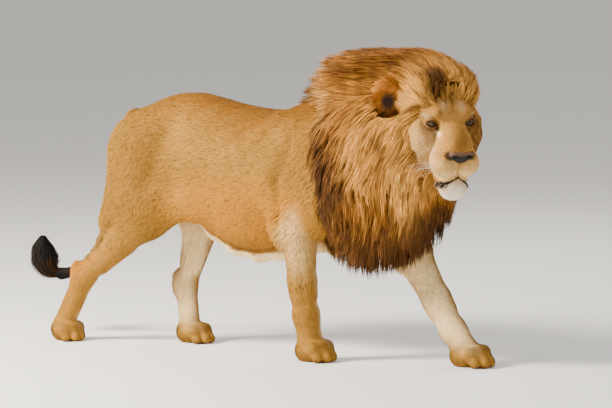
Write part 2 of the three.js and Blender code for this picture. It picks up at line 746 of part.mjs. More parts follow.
/** Block below the closed mouth, back to the throat. */
function jawBlock(margin) {
  const outline = new THREE.Shape([
    new THREE.Vector2(MOUTH.throatX - margin, MOUTH.cornerZ + margin),
    new THREE.Vector2(MOUTH.cornerX, MOUTH.cornerZ + margin),
    new THREE.Vector2(MOUTH.frontX, MOUTH.lipZ + margin),
    new THREE.Vector2(MOUTH.frontX, MOUTH.cornerZ - 200),
    new THREE.Vector2(MOUTH.throatX - margin, MOUTH.cornerZ - 200),
  ].reverse());
  const depth = 400;
  const geometry = new THREE.ExtrudeGeometry(outline, { depth, bevelEnabled: false });
  geometry.rotateX(Math.PI / 2);
  geometry.translate(0, depth / 2, 0);
  return solidOf(geometry, new THREE.Matrix4().setPosition(HEAD_ORIGIN).multiply(headTurn));
}

/** Cupped ear: an ellipsoid hollowed from the front, leaning out from the skull. */
function earSolid(side, margin) {
  const tilt = new THREE.Euler(-side * EAR.lean, 0, side * EAR.turn);
  const at = [EAR.x, side * EAR.y, EAR.z];
  const outer = headEllipsoid(at, EAR.radii, tilt, margin);
  if (margin > 0) return outer;
  const hollow = EAR.radii.map((radius) => radius * EAR.hollow);
  const front = [EAR.x + EAR.radii[0], side * (EAR.y + 8), EAR.z + 2];
  return outer.subtract(headEllipsoid(front, hollow, tilt));
}

const eyeAt = (side) => [EYE.x, side * EYE.y, EYE.z];
const eyeRadii = [EYE.radius, EYE.radius, EYE.radius];
for (const [name, side] of [["right", RIGHT], ["left", LEFT]]) {
  face = face.subtract(headEllipsoid(eyeAt(side), eyeRadii, undefined, GAP));
  lion.add(part(`eye_${name}`, headEllipsoid(eyeAt(side), eyeRadii), EYE_GLASS));
  const ear = earSolid(side, 0).subtract(maneNeighbours[0]).subtract(maneNeighbours[1]);
  lion.add(part(`ear_${name}`, mainBody(ear), COAT));
  maneNeighbours.push(earSolid(side, SKIN_CLEARANCE));
}
face = face.subtract(headEllipsoid(NOSE.at, NOSE.radii, undefined, GAP));
lion.add(part("nose", headEllipsoid(NOSE.at, NOSE.radii), NOSE_LEATHER));
lion.add(part("face", mainBody(face.subtract(jawBlock(GAP))), COAT));
lion.add(part("lower_jaw", mainBody(face.intersect(jawBlock(0))), PALE_COAT));

// Mane, parted into the crown, the two sides and the apron on the chest.
const maneFacets = facets(mane, boxOf([-60, -330, 290], [900, 330, 1260]), MANE_FACETS);
const wholeMane = maneNeighbours.reduce((body, one) => body.subtract(one), solid(maneFacets));
const up = point(0, 0, 1);
const [belowCrown, crown] = parted(wholeMane, { at: point(400, 0, 1010), direction: up });
const [apron, sides] = parted(belowCrown, { at: point(400, 0, 560), direction: up });
const [rightSide, leftSide] = parted(sides, { at: point(430, -20, 800), direction: point(0, 1, 0) });
lion.add(
  part("mane_crown", mainBody(crown), MANE_COAT),
  part("mane_right", mainBody(rightSide), MANE_COAT),
  part("mane_left", mainBody(leftSide), MANE_COAT),
  part("mane_chest", mainBody(apron), DARK_MANE_COAT),
);

// Tail: rings swept along its curve, in four lengths.
const tailCurve = new THREE.CatmullRomCurve3(TAIL.map(([x, y, z]) => point(x, y, z)));

/** Radius of the tail at a share of its curve. */
function tailRadius(share) {
  const place = share * (TAIL.length - 1);
  const i = Math.min(Math.floor(place), TAIL.length - 2);
  return THREE.MathUtils.lerp(TAIL[i][3], TAIL[i + 1][3], place - i);
}

/** Closed tube along the tail between two shares of its curve. */
function tailLength(from, to) {
  const rings = Math.max(4, Math.round((to - from) * TAIL_RINGS));
  const vertices = [];
  const faces = [];
  for (let i = 0; i <= rings; i += 1) {
    const share = THREE.MathUtils.lerp(from, to, i / rings);
    const centre = tailCurve.getPoint(share);
    const ahead = tailCurve.getTangent(share);
    const level = point(0, 1, 0);
    const across = level.clone().cross(ahead).normalize();
    for (let j = 0; j < TAIL_SIDES; j += 1) {
      const angle = (j * 2 * Math.PI) / TAIL_SIDES;
      const spot = centre.clone()
        .addScaledVector(level, Math.cos(angle) * tailRadius(share))
        .addScaledVector(across, Math.sin(angle) * tailRadius(share));
      vertices.push(...spot);
    }
  }
  for (let i = 0; i < rings; i += 1) {
    for (let j = 0; j < TAIL_SIDES; j += 1) {
      const next = (j + 1) % TAIL_SIDES;
      const [a, b] = [i * TAIL_SIDES + j, i * TAIL_SIDES + next];
      faces.push(a, b + TAIL_SIDES, b, a, a + TAIL_SIDES, b + TAIL_SIDES);
    }
  }
  const last = rings * TAIL_SIDES;
  for (let j = 1; j < TAIL_SIDES - 1; j += 1) {
    faces.push(0, j, j + 1, last, last + j + 1, last + j);
  }
  return solid({ vertices, faces });
}

const tailSpan = tailCurve.getLength();
for (const [name, from, to] of TAIL_PARTS) {
  const start = from > 0 ? from + GAP / tailSpan : from;
  const look = name === "tail_tuft" ? BLACK_HAIR : PALE_COAT;
  lion.add(part(name, mainBody(tailLength(start, to).subtract(maneNeighbours[0])), look));
}

// The origin: on the floor, below the middle of the lion's length and width.
const bounds = new THREE.Box3().setFromObject(lion);
const middle = bounds.getCenter(point(0, 0, 0));
lion.position.set(-middle.x, -middle.y, -bounds.min.z);

export default lion;
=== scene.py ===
"""A grown male lion at a walk, still and life-size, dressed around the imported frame.

One skin carries the coat, the mane, the tail tuft and the whiskers; the eyes and the nose are pieces of
their own. All the modelling is in millimetres in the lion's own frame, +X the way it walks, +Y its left,
+Z up and the floor at z = 0, and placed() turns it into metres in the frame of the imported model.
"""

import logging
from dataclasses import dataclass, field
from enum import Enum
from typing import Callable, Protocol

import bmesh
import bpy
import numpy as np
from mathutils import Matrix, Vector
from mathutils.kdtree import KDTree


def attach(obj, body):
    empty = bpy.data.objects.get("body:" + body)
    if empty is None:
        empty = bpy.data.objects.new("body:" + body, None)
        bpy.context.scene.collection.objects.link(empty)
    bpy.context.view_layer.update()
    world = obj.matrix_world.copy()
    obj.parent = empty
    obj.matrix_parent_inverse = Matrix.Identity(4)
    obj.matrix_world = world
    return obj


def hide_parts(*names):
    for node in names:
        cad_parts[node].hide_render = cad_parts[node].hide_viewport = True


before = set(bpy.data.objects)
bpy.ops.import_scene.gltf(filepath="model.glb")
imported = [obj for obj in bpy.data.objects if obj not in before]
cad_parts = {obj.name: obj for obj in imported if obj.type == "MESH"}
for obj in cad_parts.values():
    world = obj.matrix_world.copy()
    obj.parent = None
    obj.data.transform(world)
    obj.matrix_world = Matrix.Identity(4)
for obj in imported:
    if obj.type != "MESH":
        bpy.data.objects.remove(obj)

Array = np.ndarray
Triple = tuple[float, float, float]

LOG = logging.getLogger("lion")
MM = 0.001
COLOUR = "Coat"  # colour attribute that the skin and the hair carry
BAKE_MAP = "OFBake"
FAR = 1.0e4
TINY = 1.0e-9


class Side(Enum):
    """The two sides of the lion, as the sign of y."""

    RIGHT = -1
    LEFT = 1


# ---------------------------------------------------------------- plain mathematics
def unit(vectors: Array) -> Array:
    """Vectors at length one: v / |v|."""
    return vectors / np.maximum(np.linalg.norm(vectors, axis=-1, keepdims=True), TINY)


def ramp(values: Array, low: float, high: float) -> Array:
    """Smooth step from 0 at low to 1 at high: s^2 (3 - 2 s), s = (v - low) / (high - low) held in 0..1."""
    share = np.clip((values - low) / (high - low), 0.0, 1.0)
    return share * share * (3.0 - 2.0 * share)


def mix(first: Array, second: Array, share: Array) -> Array:
    """Blend of two sets of vectors: first + (second - first) share."""
    return first + (np.asarray(second) - first) * np.asarray(share)[..., None]


def dot(first: Array, second: Array) -> Array:
    """Row-by-row dot product."""
    return np.einsum("...i,...i->...", first, second)


def ripple(points: Array, length: float, seed: int) -> Array:
    """Soft wandering value in about -1..1, with features of the given length.

    The sum of four sines of p . k / length + phase, with fixed directions k drawn from the seed.
    """
    draw = np.random.default_rng(seed)
    waves = draw.normal(size=(3, 4)) * (2.0 * np.pi / length) * 0.6
    phases = draw.uniform(0.0, 2.0 * np.pi, 4)
    return np.sin(points @ waves + phases).sum(axis=-1) / 2.4


def melt(first: Array, second: Array, blend: float) -> Array:
    """Smaller of a and b with a fillet: min(a, b) - h^2 blend / 4, h = max(blend - |a - b|, 0) / blend."""
    overlap = np.maximum(blend - np.abs(first - second), 0.0) / blend
    return np.minimum(first, second) - overlap * overlap * blend / 4.0


def spot(points: Array, centre: Triple, radii: Triple, soft: float = 0.5) -> Array:
    """Mask of a soft ellipsoid: 1 inside, falling to 0 over a share of its size."""
    size = np.linalg.norm((points - np.array(centre)) / np.array(radii), axis=1)
    return 1.0 - ramp(size, 1.0 - soft, 1.0 + soft)


def turned(yaw: float, pitch: float) -> Array:
    """Turn whose columns are ahead, left and up after a yaw about z and a nose-down pitch, in degrees."""
    cos_yaw, sin_yaw = np.cos(np.radians(yaw)), np.sin(np.radians(yaw))
    cos_pitch, sin_pitch = np.cos(np.radians(pitch)), np.sin(np.radians(pitch))
    ahead = np.array([cos_yaw * cos_pitch, sin_yaw * cos_pitch, -sin_pitch])
    left = np.array([-sin_yaw, cos_yaw, 0.0])
    return np.stack([ahead, left, np.cross(ahead, left)], axis=1)


# ---------------------------------------------------------------- shapes of flesh
class Shape(Protocol):
    """Anything that gives a distance and knows the box it fills."""

    blend: float
    carve: bool

    def reach(self) -> tuple[Array, Array]:
        """Lowest and highest corner of the shape."""

    def distance(self, points: Array) -> Array:
        """Signed distance of each point, negative inside."""


@dataclass(frozen=True)
class Cone:
    """Rounded cone between two points, its section flattened sideways."""

    start: Array
    end: Array
    start_radius: float
    end_radius: float
    flat: float = 1.0
    blend: float = 40.0
    carve: bool = False

    def reach(self) -> tuple[Array, Array]:
        """Box of the two end points, grown by the larger radius."""
        radius = max(self.start_radius, self.end_radius)
        return np.minimum(self.start, self.end) - radius, np.maximum(self.start, self.end) + radius

    def distance(self, points: Array) -> Array:
        """Distance to the axis minus the radius at its nearest point, with y stretched by 1 / flat."""
        stretch = np.array([1.0, 1.0 / self.flat, 1.0])
        offset = (points - self.start) * stretch
        axis = (np.asarray(self.end, float) - self.start) * stretch
        share = np.clip(offset @ axis / (axis @ axis), 0.0, 1.0)
        away = np.linalg.norm(offset - share[:, None] * axis, axis=1)
        radius = self.start_radius + (self.end_radius - self.start_radius) * share
        return (away - radius) * np.sqrt(self.flat)


@dataclass(frozen=True)
class Ball:
    """Ellipsoid with three radii and a turn; carve takes it away instead of adding it."""

    centre: Array
    radii: Triple
    turn: Array = field(default_factory=lambda: np.eye(3))
    blend: float = 40.0
    carve: bool = False

    def reach(self) -> tuple[Array, Array]:
        """Box of the turned ellipsoid."""
        half = np.sqrt(np.square(self.turn * np.array(self.radii)).sum(axis=1))
        return self.centre - half, self.centre + half

    def distance(self, points: Array) -> Array:
        """k (k - 1) / |grad k|, with k the length of the point in radii."""
        scaled = (points - self.centre) @ self.turn / self.radii
        size = np.linalg.norm(scaled, axis=1)
        slope = np.linalg.norm(scaled / self.radii, axis=1)
        return size * (size - 1.0) / np.maximum(slope, TINY)


@dataclass(frozen=True)
class Spine:
    """Trunk as superellipse sections along x: stations of x, top, bottom and half width."""

    stations: Array
    squareness: float = 2.1

    def sections(self, along: Array) -> Array:
        """Top, bottom and half width at each x, on Catmull-Rom curves through the stations."""
        places, values = self.stations[:, 0], self.stations[:, 1:]
        i = np.clip(np.searchsorted(places, along) - 1, 0, len(places) - 2)
        before = np.clip(np.arange(len(places)) - 1, 0, None)
        after = np.clip(np.arange(len(places)) + 1, None, len(places) - 1)
        slopes = (values[after] - values[before]) / (places[after] - places[before])[:, None]
        span = (places[i + 1] - places[i])[:, None]
        t = (along[:, None] - places[i, None]) / span
        ends = (2 * t**3 - 3 * t**2 + 1) * values[i] + (3 * t**2 - 2 * t**3) * values[i + 1]
        return ends + (t**3 - 2 * t**2 + t) * span * slopes[i] + (t**3 - t**2) * span * slopes[i + 1]

    def distance(self, points: Array) -> Array:
        """(|y / w|^n + |z / h|^n)^(1 / n) - 1, in units of the smaller half size, rounded past both ends."""
        inside = np.clip(points[:, 0], self.stations[0, 0], self.stations[-1, 0])
        top, bottom, half_width = self.sections(inside).T
        half_height = (top - bottom) / 2.0
        across = np.abs(points[:, 1] / half_width) ** self.squareness
        upright = np.abs((points[:, 2] - (top + bottom) / 2.0) / half_height) ** self.squareness
        size = (across + upright) ** (1.0 / self.squareness)
        near = (size - 1.0) * np.minimum(half_width, half_height)
        past = np.abs(points[:, 0] - inside)
        return np.where(past > 0.0, np.hypot(np.maximum(near, 0.0), past), near)


GRID_SLAB = 24  # grid planes worked out at a time


def over_grid(function: Callable[[Array], Array], axes: list[Array]) -> Array:
    """A function's value at every crossing of three sets of grid lines."""
    slabs = []
    for i in range(0, len(axes[0]), GRID_SLAB):
        block = np.stack(np.meshgrid(axes[0][i : i + GRID_SLAB], axes[1], axes[2], indexing="ij"), -1)
        slabs.append(function(block.reshape(-1, 3)).reshape(block.shape[:3]))
    return np.concatenate(slabs)


@dataclass
class Form:
    """A base distance and shapes melted into it one after the other, then an allowance added over it."""

    shapes: list[Shape]
    base: Callable[[Array], Array] | None = None
    allowance: Callable[[Array], Array] | None = None
    floor: float | None = None  # level that the form is cut flat at
    band: float = 60.0  # distance from the surface beyond which the allowance doesn't count
    room: float = 20.0  # how far outside its own box and blend a shape still counts

    def at(self, points: Array) -> Array:
        """Signed distance of each point to the whole form."""
        points = np.asarray(points, float)
        value = self.base(points) if self.base else np.full(len(points), FAR)
        for shape in self.shapes:
            low, high = shape.reach()
            pad = shape.blend + self.room
            near = np.flatnonzero(((points > low - pad) & (points < high + pad)).all(axis=1))
            if len(near):
                own = shape.distance(points[near])
                old = value[near]
                value[near] = -melt(-old, own, shape.blend) if shape.carve else melt(old, own, shape.blend)
        return self.finished(value, points)

    def finished(self, value: Array, points: Array) -> Array:
        """The value with the allowance added and everything under the floor cut off."""
        value = value + self.allowance(points) if self.allowance else value
        return value if self.floor is None else np.maximum(value, self.floor - points[:, 2])

    def slope(self, points: Array, step: float = 1.0) -> Array:
        """Gradient from four corners of a small tetrahedron: sum k f(p + k step) / (4 step)."""
        corners = np.array([[1, -1, -1], [-1, -1, 1], [-1, 1, -1], [1, 1, 1]], float)
        return sum(c * self.at(points + c * step)[:, None] for c in corners) / (4.0 * step)

    def outward(self, points: Array) -> Array:
        """Unit normal of the form's level surface through each point."""
        return unit(self.slope(points))

    def settled(self, points: Array, level: Array | float = 0.0, rounds: int = 3) -> Array:
        """Points moved onto a level: p - (f - level) grad f / |grad f|^2, a few times."""
        for _ in range(rounds):
            slope = self.slope(points)
            error = self.at(points) - level
            points = points - slope * (error / np.maximum(dot(slope, slope), 0.05))[:, None]
        return points

    def grid(self, axes: list[Array]) -> Array:
        """The form's distance at every crossing of the grid lines, each shape worked out in its own box."""
        value = over_grid(self.base, axes) if self.base else np.full([len(axis) for axis in axes], FAR)
        for shape in self.shapes:
            low, high = shape.reach()
            pad = shape.blend + self.room
            ends = [np.searchsorted(axes[k], (low[k] - pad, high[k] + pad)) for k in range(3)]
            if any(start == stop for start, stop in ends):
                continue
            part = tuple(slice(*pair) for pair in ends)
            own, old = over_grid(shape.distance, [axes[k][part[k]] for k in range(3)]), value[part]
            value[part] = -melt(-old, own, shape.blend) if shape.carve else melt(old, own, shape.blend)
        if self.allowance:
            close = np.flatnonzero(np.abs(value) < self.band)
            spots = np.stack([axes[k][at] for k, at in enumerate(np.unravel_index(close, value.shape))], 1)
            value.ravel()[close] += self.allowance(spots)
        return value if self.floor is None else np.maximum(value, self.floor - axes[2])

    def surface(self, axes: list[Array]) -> tuple[Array, Array]:
        """Quads round the zero level on a grid whose lines are the three axes, then settled onto it.

        Every grid cell that the surface crosses holds one vertex, the mean of the crossings on its edges;
        every crossed edge gives one quad between the four cells round it.
        """
        sizes = [len(axis) for axis in axes]
        values = self.grid(axes)
        cells = [size - 1 for size in sizes]
        corner_ids, crossings = [], []
        for axis in range(3):
            first = np.take(values, range(sizes[axis] - 1), axis)
            second = np.take(values, range(1, sizes[axis]), axis)
            crossed = (first < 0.0) != (second < 0.0)
            for other in {0, 1, 2} - {axis}:
                edge = [slice(None)] * 3
                edge[other] = [0, -1]
                crossed[tuple(edge)] = False
            at = np.argwhere(crossed)
            share = first[crossed] / (first[crossed] - second[crossed])
            spots = np.stack([axes[k][at[:, k]] for k in range(3)], axis=1)
            ahead = axes[axis][at[:, axis] + 1] - axes[axis][at[:, axis]]
            spots[:, axis] += share * ahead
            step_p, step_q = np.eye(3, dtype=int)[(axis + 1) % 3], np.eye(3, dtype=int)[(axis + 2) % 3]
            around = [at, at - step_p, at - step_p - step_q, at - step_q]
            ids = np.stack([np.ravel_multi_index(corner.T, cells, mode="clip") for corner in around], 1)
            ids[first[crossed] >= 0.0] = ids[first[crossed] >= 0.0][:, ::-1]
            corner_ids.append(ids)
            crossings.append(spots)
        ids, spots = np.concatenate(corner_ids), np.concatenate(crossings)
        place = np.unique(ids, return_inverse=True)[1].reshape(-1)
        count = np.bincount(place)
        repeated = np.repeat(spots, 4, axis=0)
        points = np.stack([np.bincount(place, repeated[:, k]) / count for k in range(3)], axis=1)
        moved = self.settled(points)
        reach = np.linalg.norm([np.diff(axis).max() for axis in axes])
        calm = np.linalg.norm(moved - points, axis=1) < reach
        return np.where(calm[:, None], moved, points), place.reshape(-1, 4)


# ---------------------------------------------------------------- anatomy
@dataclass(frozen=True)
class HeadFrame:
    """The head's own frame: origin midway between the eyes, x to the nose, y left, z up."""

    origin: Triple = (720.0, -120.0, 946.0)
    yaw: float = -35.0
    pitch: float = 8.0

    @property
    def turn(self) -> Array:
        """Turn from the head's frame to the body's."""
        return turned(self.yaw, self.pitch)

    def onto_body(self, points: Array) -> Array:
        """Head points in the body's frame: R p + o."""
        return np.asarray(points, float) @ self.turn.T + self.origin

    def from_body(self, points: Array) -> Array:
        """Body points in the head's frame: R^T (p - o)."""
        return (points - self.origin) @ self.turn

    def along(self, vectors: Array) -> Array:
        """Head directions in the body's frame."""
        return np.asarray(vectors, float) @ self.turn.T


HEAD = HeadFrame()


@dataclass(frozen=True)
class Paw:
    """Pad and four toes, between the ball of the foot and the toe tips."""

    half_width: float
    size: float
    pad_sink: float = 14.0
    toe_height: float = 21.0

    def shapes(self, ball: Array, toe: Array) -> list[Shape]:
        """Pad as a ball, each toe as two cones that meet at a raised knuckle."""
        ahead = (toe - ball) * (1.0, 1.0, 0.0)
        length = np.linalg.norm(ahead)
        ahead = ahead / length
        left = np.cross((0.0, 0.0, 1.0), ahead)
        turn = np.stack([ahead, left, (0.0, 0.0, 1.0)], axis=1)
        size, width = self.size, self.half_width
        pad = ball - (0.0, 0.0, self.pad_sink * size)
        shapes: list[Shape] = [Ball(pad, (60 * size, 1.15 * width * size, 50 * size), turn, 30.0)]
        for place in (-1.5, -0.5, 0.5, 1.5):
            outer = abs(place) > 1.0
            base = ball + left * place * width * 0.52
            tip = ball + ahead * (length - 28 * size - 22 * outer) + left * place * width * 0.6
            tip[2] = self.toe_height * size
            knuckle = (base + tip) / 2.0 + ahead * 10.0
            knuckle[2] = 52.0 * size
            girth = 0.9 if outer else 1.0
            shapes.append(Cone(base, knuckle, 26 * size, 29 * size, blend=20.0))
            shapes.append(Cone(knuckle, tip, 27 * size * girth, 24 * size * girth, blend=9.0))
        return shapes


@dataclass(frozen=True)
class HindLeg:
    """Joint centres of a hind leg, with its ball of the foot and toe tips."""

    side: Side
    hip: Triple
    knee: Triple
    hock: Triple
    ball: Triple
    toe: Triple
    paw: Paw = Paw(50.0, 0.92)

    def shapes(self) -> list[Shape]:
        """Thigh, hamstring, calf, shin, heel and long foot, then the paw."""
        hip, knee, hock, ball, toe = map(np.array, (self.hip, self.knee, self.hock, self.ball, self.toe))
        calf_end = hock + (knee - hock) * (0.28, 0.0, 0.28)
        hamstring_end = (knee + hock) / 2.0 + (-25, 0, 100)
        return [
            Cone(hip, knee + (-25, 0, 55), 138, 105, 0.65, 72),
            Cone(hip + (-55, 0, -60), hamstring_end, 75, 55, 0.7, 60),
            Cone(knee + (-18, 0, 0), calf_end, 92, 48, 0.68, 50),
            Cone(knee * 0.6 + hock * 0.4, hock, 55, 45, 0.8, 30),
            Cone(hock + (-35, 0, 35), hock + (-30, 0, -20), 24, 28, 0.8, 30),
            Cone(hock, ball + (0, 0, 20), 46, 43, 0.85, 30),
            *self.paw.shapes(ball, toe),
        ]


@dataclass(frozen=True)
class ForeLeg:
    """Top of the shoulder blade, shoulder, elbow and wrist of a foreleg, with its paw."""

    side: Side
    blade: Triple
    shoulder: Triple
    elbow: Triple
    wrist: Triple
    ball: Triple
    toe: Triple
    paw: Paw = Paw(55.0, 1.0)

    def shapes(self) -> list[Shape]:
        """Shoulder blade, upper arm, back of the arm, forearm and wrist, then the paw."""
        joints = (self.blade, self.shoulder, self.elbow, self.wrist, self.ball, self.toe)
        blade, shoulder, elbow, wrist, ball, toe = map(np.array, joints)
        return [
            Cone(blade, shoulder, 90, 105, 0.55, 80),
            Cone(shoulder, elbow + (0, 0, 20), 105, 80, 0.65, 60),
            Cone(elbow + (-70, 0, 200), elbow + (-30, 0, 10), 90, 40, 0.55, 60),
            Cone(elbow + (15, 0, -20), wrist * 0.7 + elbow * 0.3, 76, 54, 0.82, 40),
            Cone(wrist * 0.6 + elbow * 0.4, wrist, 56, 50, 0.9, 30),
            Cone(wrist, ball + (0, 0, 15), 50, 50, 0.95, 30),
            *self.paw.shapes(ball, toe),
        ]


SPINE_STATIONS = (
    (-865, 780, 680, 30), (-815, 850, 600, 80), (-755, 910, 545, 120), (-675, 962, 510, 145),
    (-580, 993, 490, 155), (-480, 1000, 475, 162), (-400, 988, 436, 172), (-300, 968, 397, 187),
    (-200, 955, 386, 197), (-100, 952, 398, 197), (0, 960, 412, 187), (100, 970, 420, 172),
    (200, 955, 440, 150), (280, 910, 500, 120), (340, 840, 580, 60),
)  # fmt: skip
SPINE = Spine(np.array(SPINE_STATIONS, float))
HIND_LEGS = (
    HindLeg(
        Side.RIGHT, (-718, -85, 770), (-645, -145, 510), (-945, -140, 265), (-1052, -130, 50), (-962, -140, 0)
    ),
    HindLeg(Side.LEFT, (-718, 85, 770), (-545, 145, 540), (-628, 100, 225), (-600, 85, 50), (-490, 80, 0)),
)
FORE_LEGS = (
    ForeLeg(
        Side.RIGHT, (-20, -105, 850), (215, -145, 660), (55, -155, 500),
        (82, -125, 175), (100, -120, 50), (210, -125, 0),
    ),
    ForeLeg(
        Side.LEFT, (20, 105, 850), (270, 145, 650), (395, 130, 415),
        (610, 90, 130), (675, 75, 50), (800, 65, 0),
    ),
)  # fmt: skip


@dataclass(frozen=True)
class Eye:
    """Place and radius of the right and left eyeball in the head's frame."""

    ahead: float = -2.0
    aside: float = 74.0
    radius: float = 20.0
    lid: float = 7.5  # thickness of the lids with their hair
    half_opening: float = 18.5
    upper: float = 7.0
    lower: float = 6.0
    outward: float = 20.0  # turn of the socket away from straight ahead, in degrees
    slant: float = 9.0  # how far the inner corner lies lower, in degrees

    def centre(self, side: Side) -> Array:
        """Centre of one eye in the head's frame."""
        return np.array([self.ahead, side.value * self.aside, 0.0])


EYE = Eye()


@dataclass(frozen=True)
class EyeOpening:
    """Almond between the lids of one eye, taken out of the lids in front of the eyeball."""

    side: Side
    blend: float = 1.5
    carve: bool = True

    def reach(self) -> tuple[Array, Array]:
        """Box round the eye."""
        middle = HEAD.onto_body(EYE.centre(self.side))
        return middle - 45.0, middle + 45.0

    def past(self, head: Array) -> Array:
        """Height past the lids' edges, h (1 - (s / w)^2), with s outwards and h upwards in the socket."""
        _, aside = self.socket()
        tilt = np.radians(EYE.slant)
        offset = head - EYE.centre(self.side)
        across = offset @ aside * np.cos(tilt) + offset[:, 2] * np.sin(tilt)
        height = offset[:, 2] * np.cos(tilt) - offset @ aside * np.sin(tilt)
        swell = 1.0 - np.minimum((across / EYE.half_opening) ** 2, 1.5)
        return np.maximum(height - EYE.upper * swell, -EYE.lower * swell - height)

    def socket(self) -> tuple[Array, Array]:
        """Unit vectors ahead of the socket and outwards across it, in the head's frame."""
        turn = np.radians(EYE.outward)
        ahead = np.array([np.cos(turn), self.side.value * np.sin(turn), 0.0])
        return ahead, np.array([-ahead[1], ahead[0], 0.0]) * self.side.value

    def distance(self, points: Array) -> Array:
        """Past the lids' edges, and only in front of the eyeball's middle."""
        head = HEAD.from_body(points)
        ahead, _ = self.socket()
        return np.maximum(self.past(head) * 0.85, 8.0 - (head - EYE.centre(self.side)) @ ahead)


@dataclass(frozen=True)
class Ear:
    """Cupped ear in the head's frame: a leaning ellipsoid hollowed from the front."""

    ahead: float = -201.0
    aside: float = 163.0
    up: float = 60.0
    radii: Triple = (32.0, 54.0, 66.0)
    lean: float = 15.0
    toe_out: float = 25.0
    hollow: float = 0.78

    def turn(self, side: Side) -> Array:
        """Head's turn, then the ear's lean about x and its turn about z."""
        lean, spin = np.radians(-side.value * self.lean), np.radians(side.value * self.toe_out)
        about_x = np.array([[1, 0, 0], [0, np.cos(lean), -np.sin(lean)], [0, np.sin(lean), np.cos(lean)]])
        about_z = np.array([[np.cos(spin), -np.sin(spin), 0], [np.sin(spin), np.cos(spin), 0], [0, 0, 1]])
        return HEAD.turn @ about_x @ about_z

    def centre(self, side: Side) -> Array:
        """Middle of the cup in the head's frame."""
        return np.array([self.ahead, side.value * self.aside, self.up])

    def shapes(self, side: Side) -> list[Shape]:
        """The outer ellipsoid and, taken out of it, the hollow in front."""
        outer = Ball(HEAD.onto_body(self.centre(side)), self.radii, self.turn(side), 12.0)
        front = self.centre(side) + (self.radii[0] * 0.95, side.value * 7.0, 3.0)
        inner = tuple(radius * self.hollow for radius in self.radii)
        return [outer, Ball(HEAD.onto_body(front), inner, self.turn(side), 5.0, carve=True)]


EAR = Ear()


def head_ball(at: Triple, radii: Triple, blend: float = 30.0, carve: bool = False) -> Ball:
    """Ellipsoid placed and turned with the head."""
    return Ball(HEAD.onto_body(at), radii, HEAD.turn, blend, carve)


def head_cone(
    start: Triple, end: Triple, radii: tuple[float, float], blend: float = 30.0, carve: bool = False
) -> Cone:
    """Rounded cone between two points of the head."""
    return Cone(HEAD.onto_body(start), HEAD.onto_body(end), *radii, blend=blend, carve=carve)


def head_shapes() -> list[Shape]:
    """Skull, cheeks, brows, muzzle, whisker pads, chin and ears, then sockets, lips and lids."""
    shapes: list[Shape] = [
        head_ball((-130, 0, 12), (132, 116, 106)),
        head_ball((-45, 0, 42), (74, 86, 54), 50),
    ]
    for s in (-1, 1):
        shapes += [
            head_ball((-62, s * 104, -52), (88, 48, 60), 50),
            head_ball((-85, s * 84, -132), (84, 56, 76), 50),
            head_cone((-36, s * 84, 44), (16, s * 50, 36), (24, 20)),
            head_cone((-170, s * 75, 42), (-198, s * 138, 62), (62, 38), 40),
        ]
    shapes += [
        head_ball((36, 0, -92), (94, 76, 74)),
        head_cone((-20, 0, 12), (100, 0, -62), (42, 38)),
    ]
    shapes += [head_cone((-20, s * 24, 8), (100, s * 22, -68), (31, 28), 20) for s in (-1, 1)]
    shapes += [head_ball((66, s * 44, -138), (66, 50, 51), 25) for s in (-1, 1)]
    shapes += [
        head_cone((-30, 0, -165), (56, 0, -206), (72, 50)),
        head_ball((64, 0, -222), (46, 54, 44), 25),
    ]
    shapes += [head_ball((32, s * 88, -6), (34, 26, 19), 20, carve=True) for s in (-1, 1)]
    for side in Side:
        eye = HEAD.onto_body(EYE.centre(side))
        lids = Ball(eye, (EYE.radius + EYE.lid,) * 3, blend=9.0)
        shapes += [lids, EyeOpening(side), *EAR.shapes(side)]
    return shapes


# ---------------------------------------------------------------- the tail
TAIL_LINE = (
    (-790, 0, 875, 46), (-858, 4, 795, 40), (-908, 16, 680, 28), (-950, 34, 490, 22),
    (-1012, 34, 345, 19), (-1095, 20, 264, 18), (-1160, 5, 243, 24), (-1200, -8, 255, 41),
    (-1228, -15, 295, 47), (-1236, -20, 345, 36), (-1232, -24, 392, 9),
)  # x, y, z and radius, from the croup to the tip  # fmt: skip


@dataclass(frozen=True)
class Tail:
    """Centre line and radius of the tail, from the croup to the tip of its tuft."""

    line: Array = field(default_factory=lambda: np.array(TAIL_LINE, float))
    tuft_start: float = 0.6  # share of the line where the tuft's hair begins

    def at(self, shares: Array) -> tuple[Array, Array]:
        """Centre and radius at shares of the line, on a centripetal Catmull-Rom curve.

        Each stretch is the cubic through its two points whose end slopes weigh the neighbouring chords by
        the square root of their lengths; the radius runs straight between the points.
        """
        points = self.line[:, :3]
        ends = np.vstack([2 * points[0] - points[1], points, 2 * points[-1] - points[-2]])
        gaps = np.sqrt(np.linalg.norm(np.diff(ends, axis=0), axis=1))[:, None]
        place = np.asarray(shares) * (len(points) - 1)
        i = np.clip(place.astype(int), 0, len(points) - 2)
        t = (place - i)[:, None]
        p0, p1, p2, p3 = (ends[i + k] for k in range(4))
        d0, d1, d2 = (gaps[i + k] for k in range(3))
        slope_in = ((p1 - p0) / d0 - (p2 - p0) / (d0 + d1) + (p2 - p1) / d1) * d1
        slope_out = ((p2 - p1) / d1 - (p3 - p1) / (d1 + d2) + (p3 - p2) / d2) * d1
        bend = 3 * (p2 - p1) - 2 * slope_in - slope_out
        twist = 2 * (p1 - p2) + slope_in + slope_out
        radius = self.line[i, 3] + (self.line[i + 1, 3] - self.line[i, 3]) * t[:, 0]
        return p1 + slope_in * t + bend * t**2 + twist * t**3, radius

    def shapes(self) -> list[Shape]:
        """The tail's flesh as a chain of cones, thin inside the tuft."""
        shares = np.linspace(0.0, 0.8, 25)
        centres, radii = self.at(shares)
        radii = np.where(shares > self.tuft_start, np.minimum(radii, 17.0), radii)
        pairs = zip(centres[:-1], centres[1:], radii[:-1], radii[1:])
        return [Cone(start, end, first, second, blend=12.0) for start, end, first, second in pairs]


TAIL = Tail()


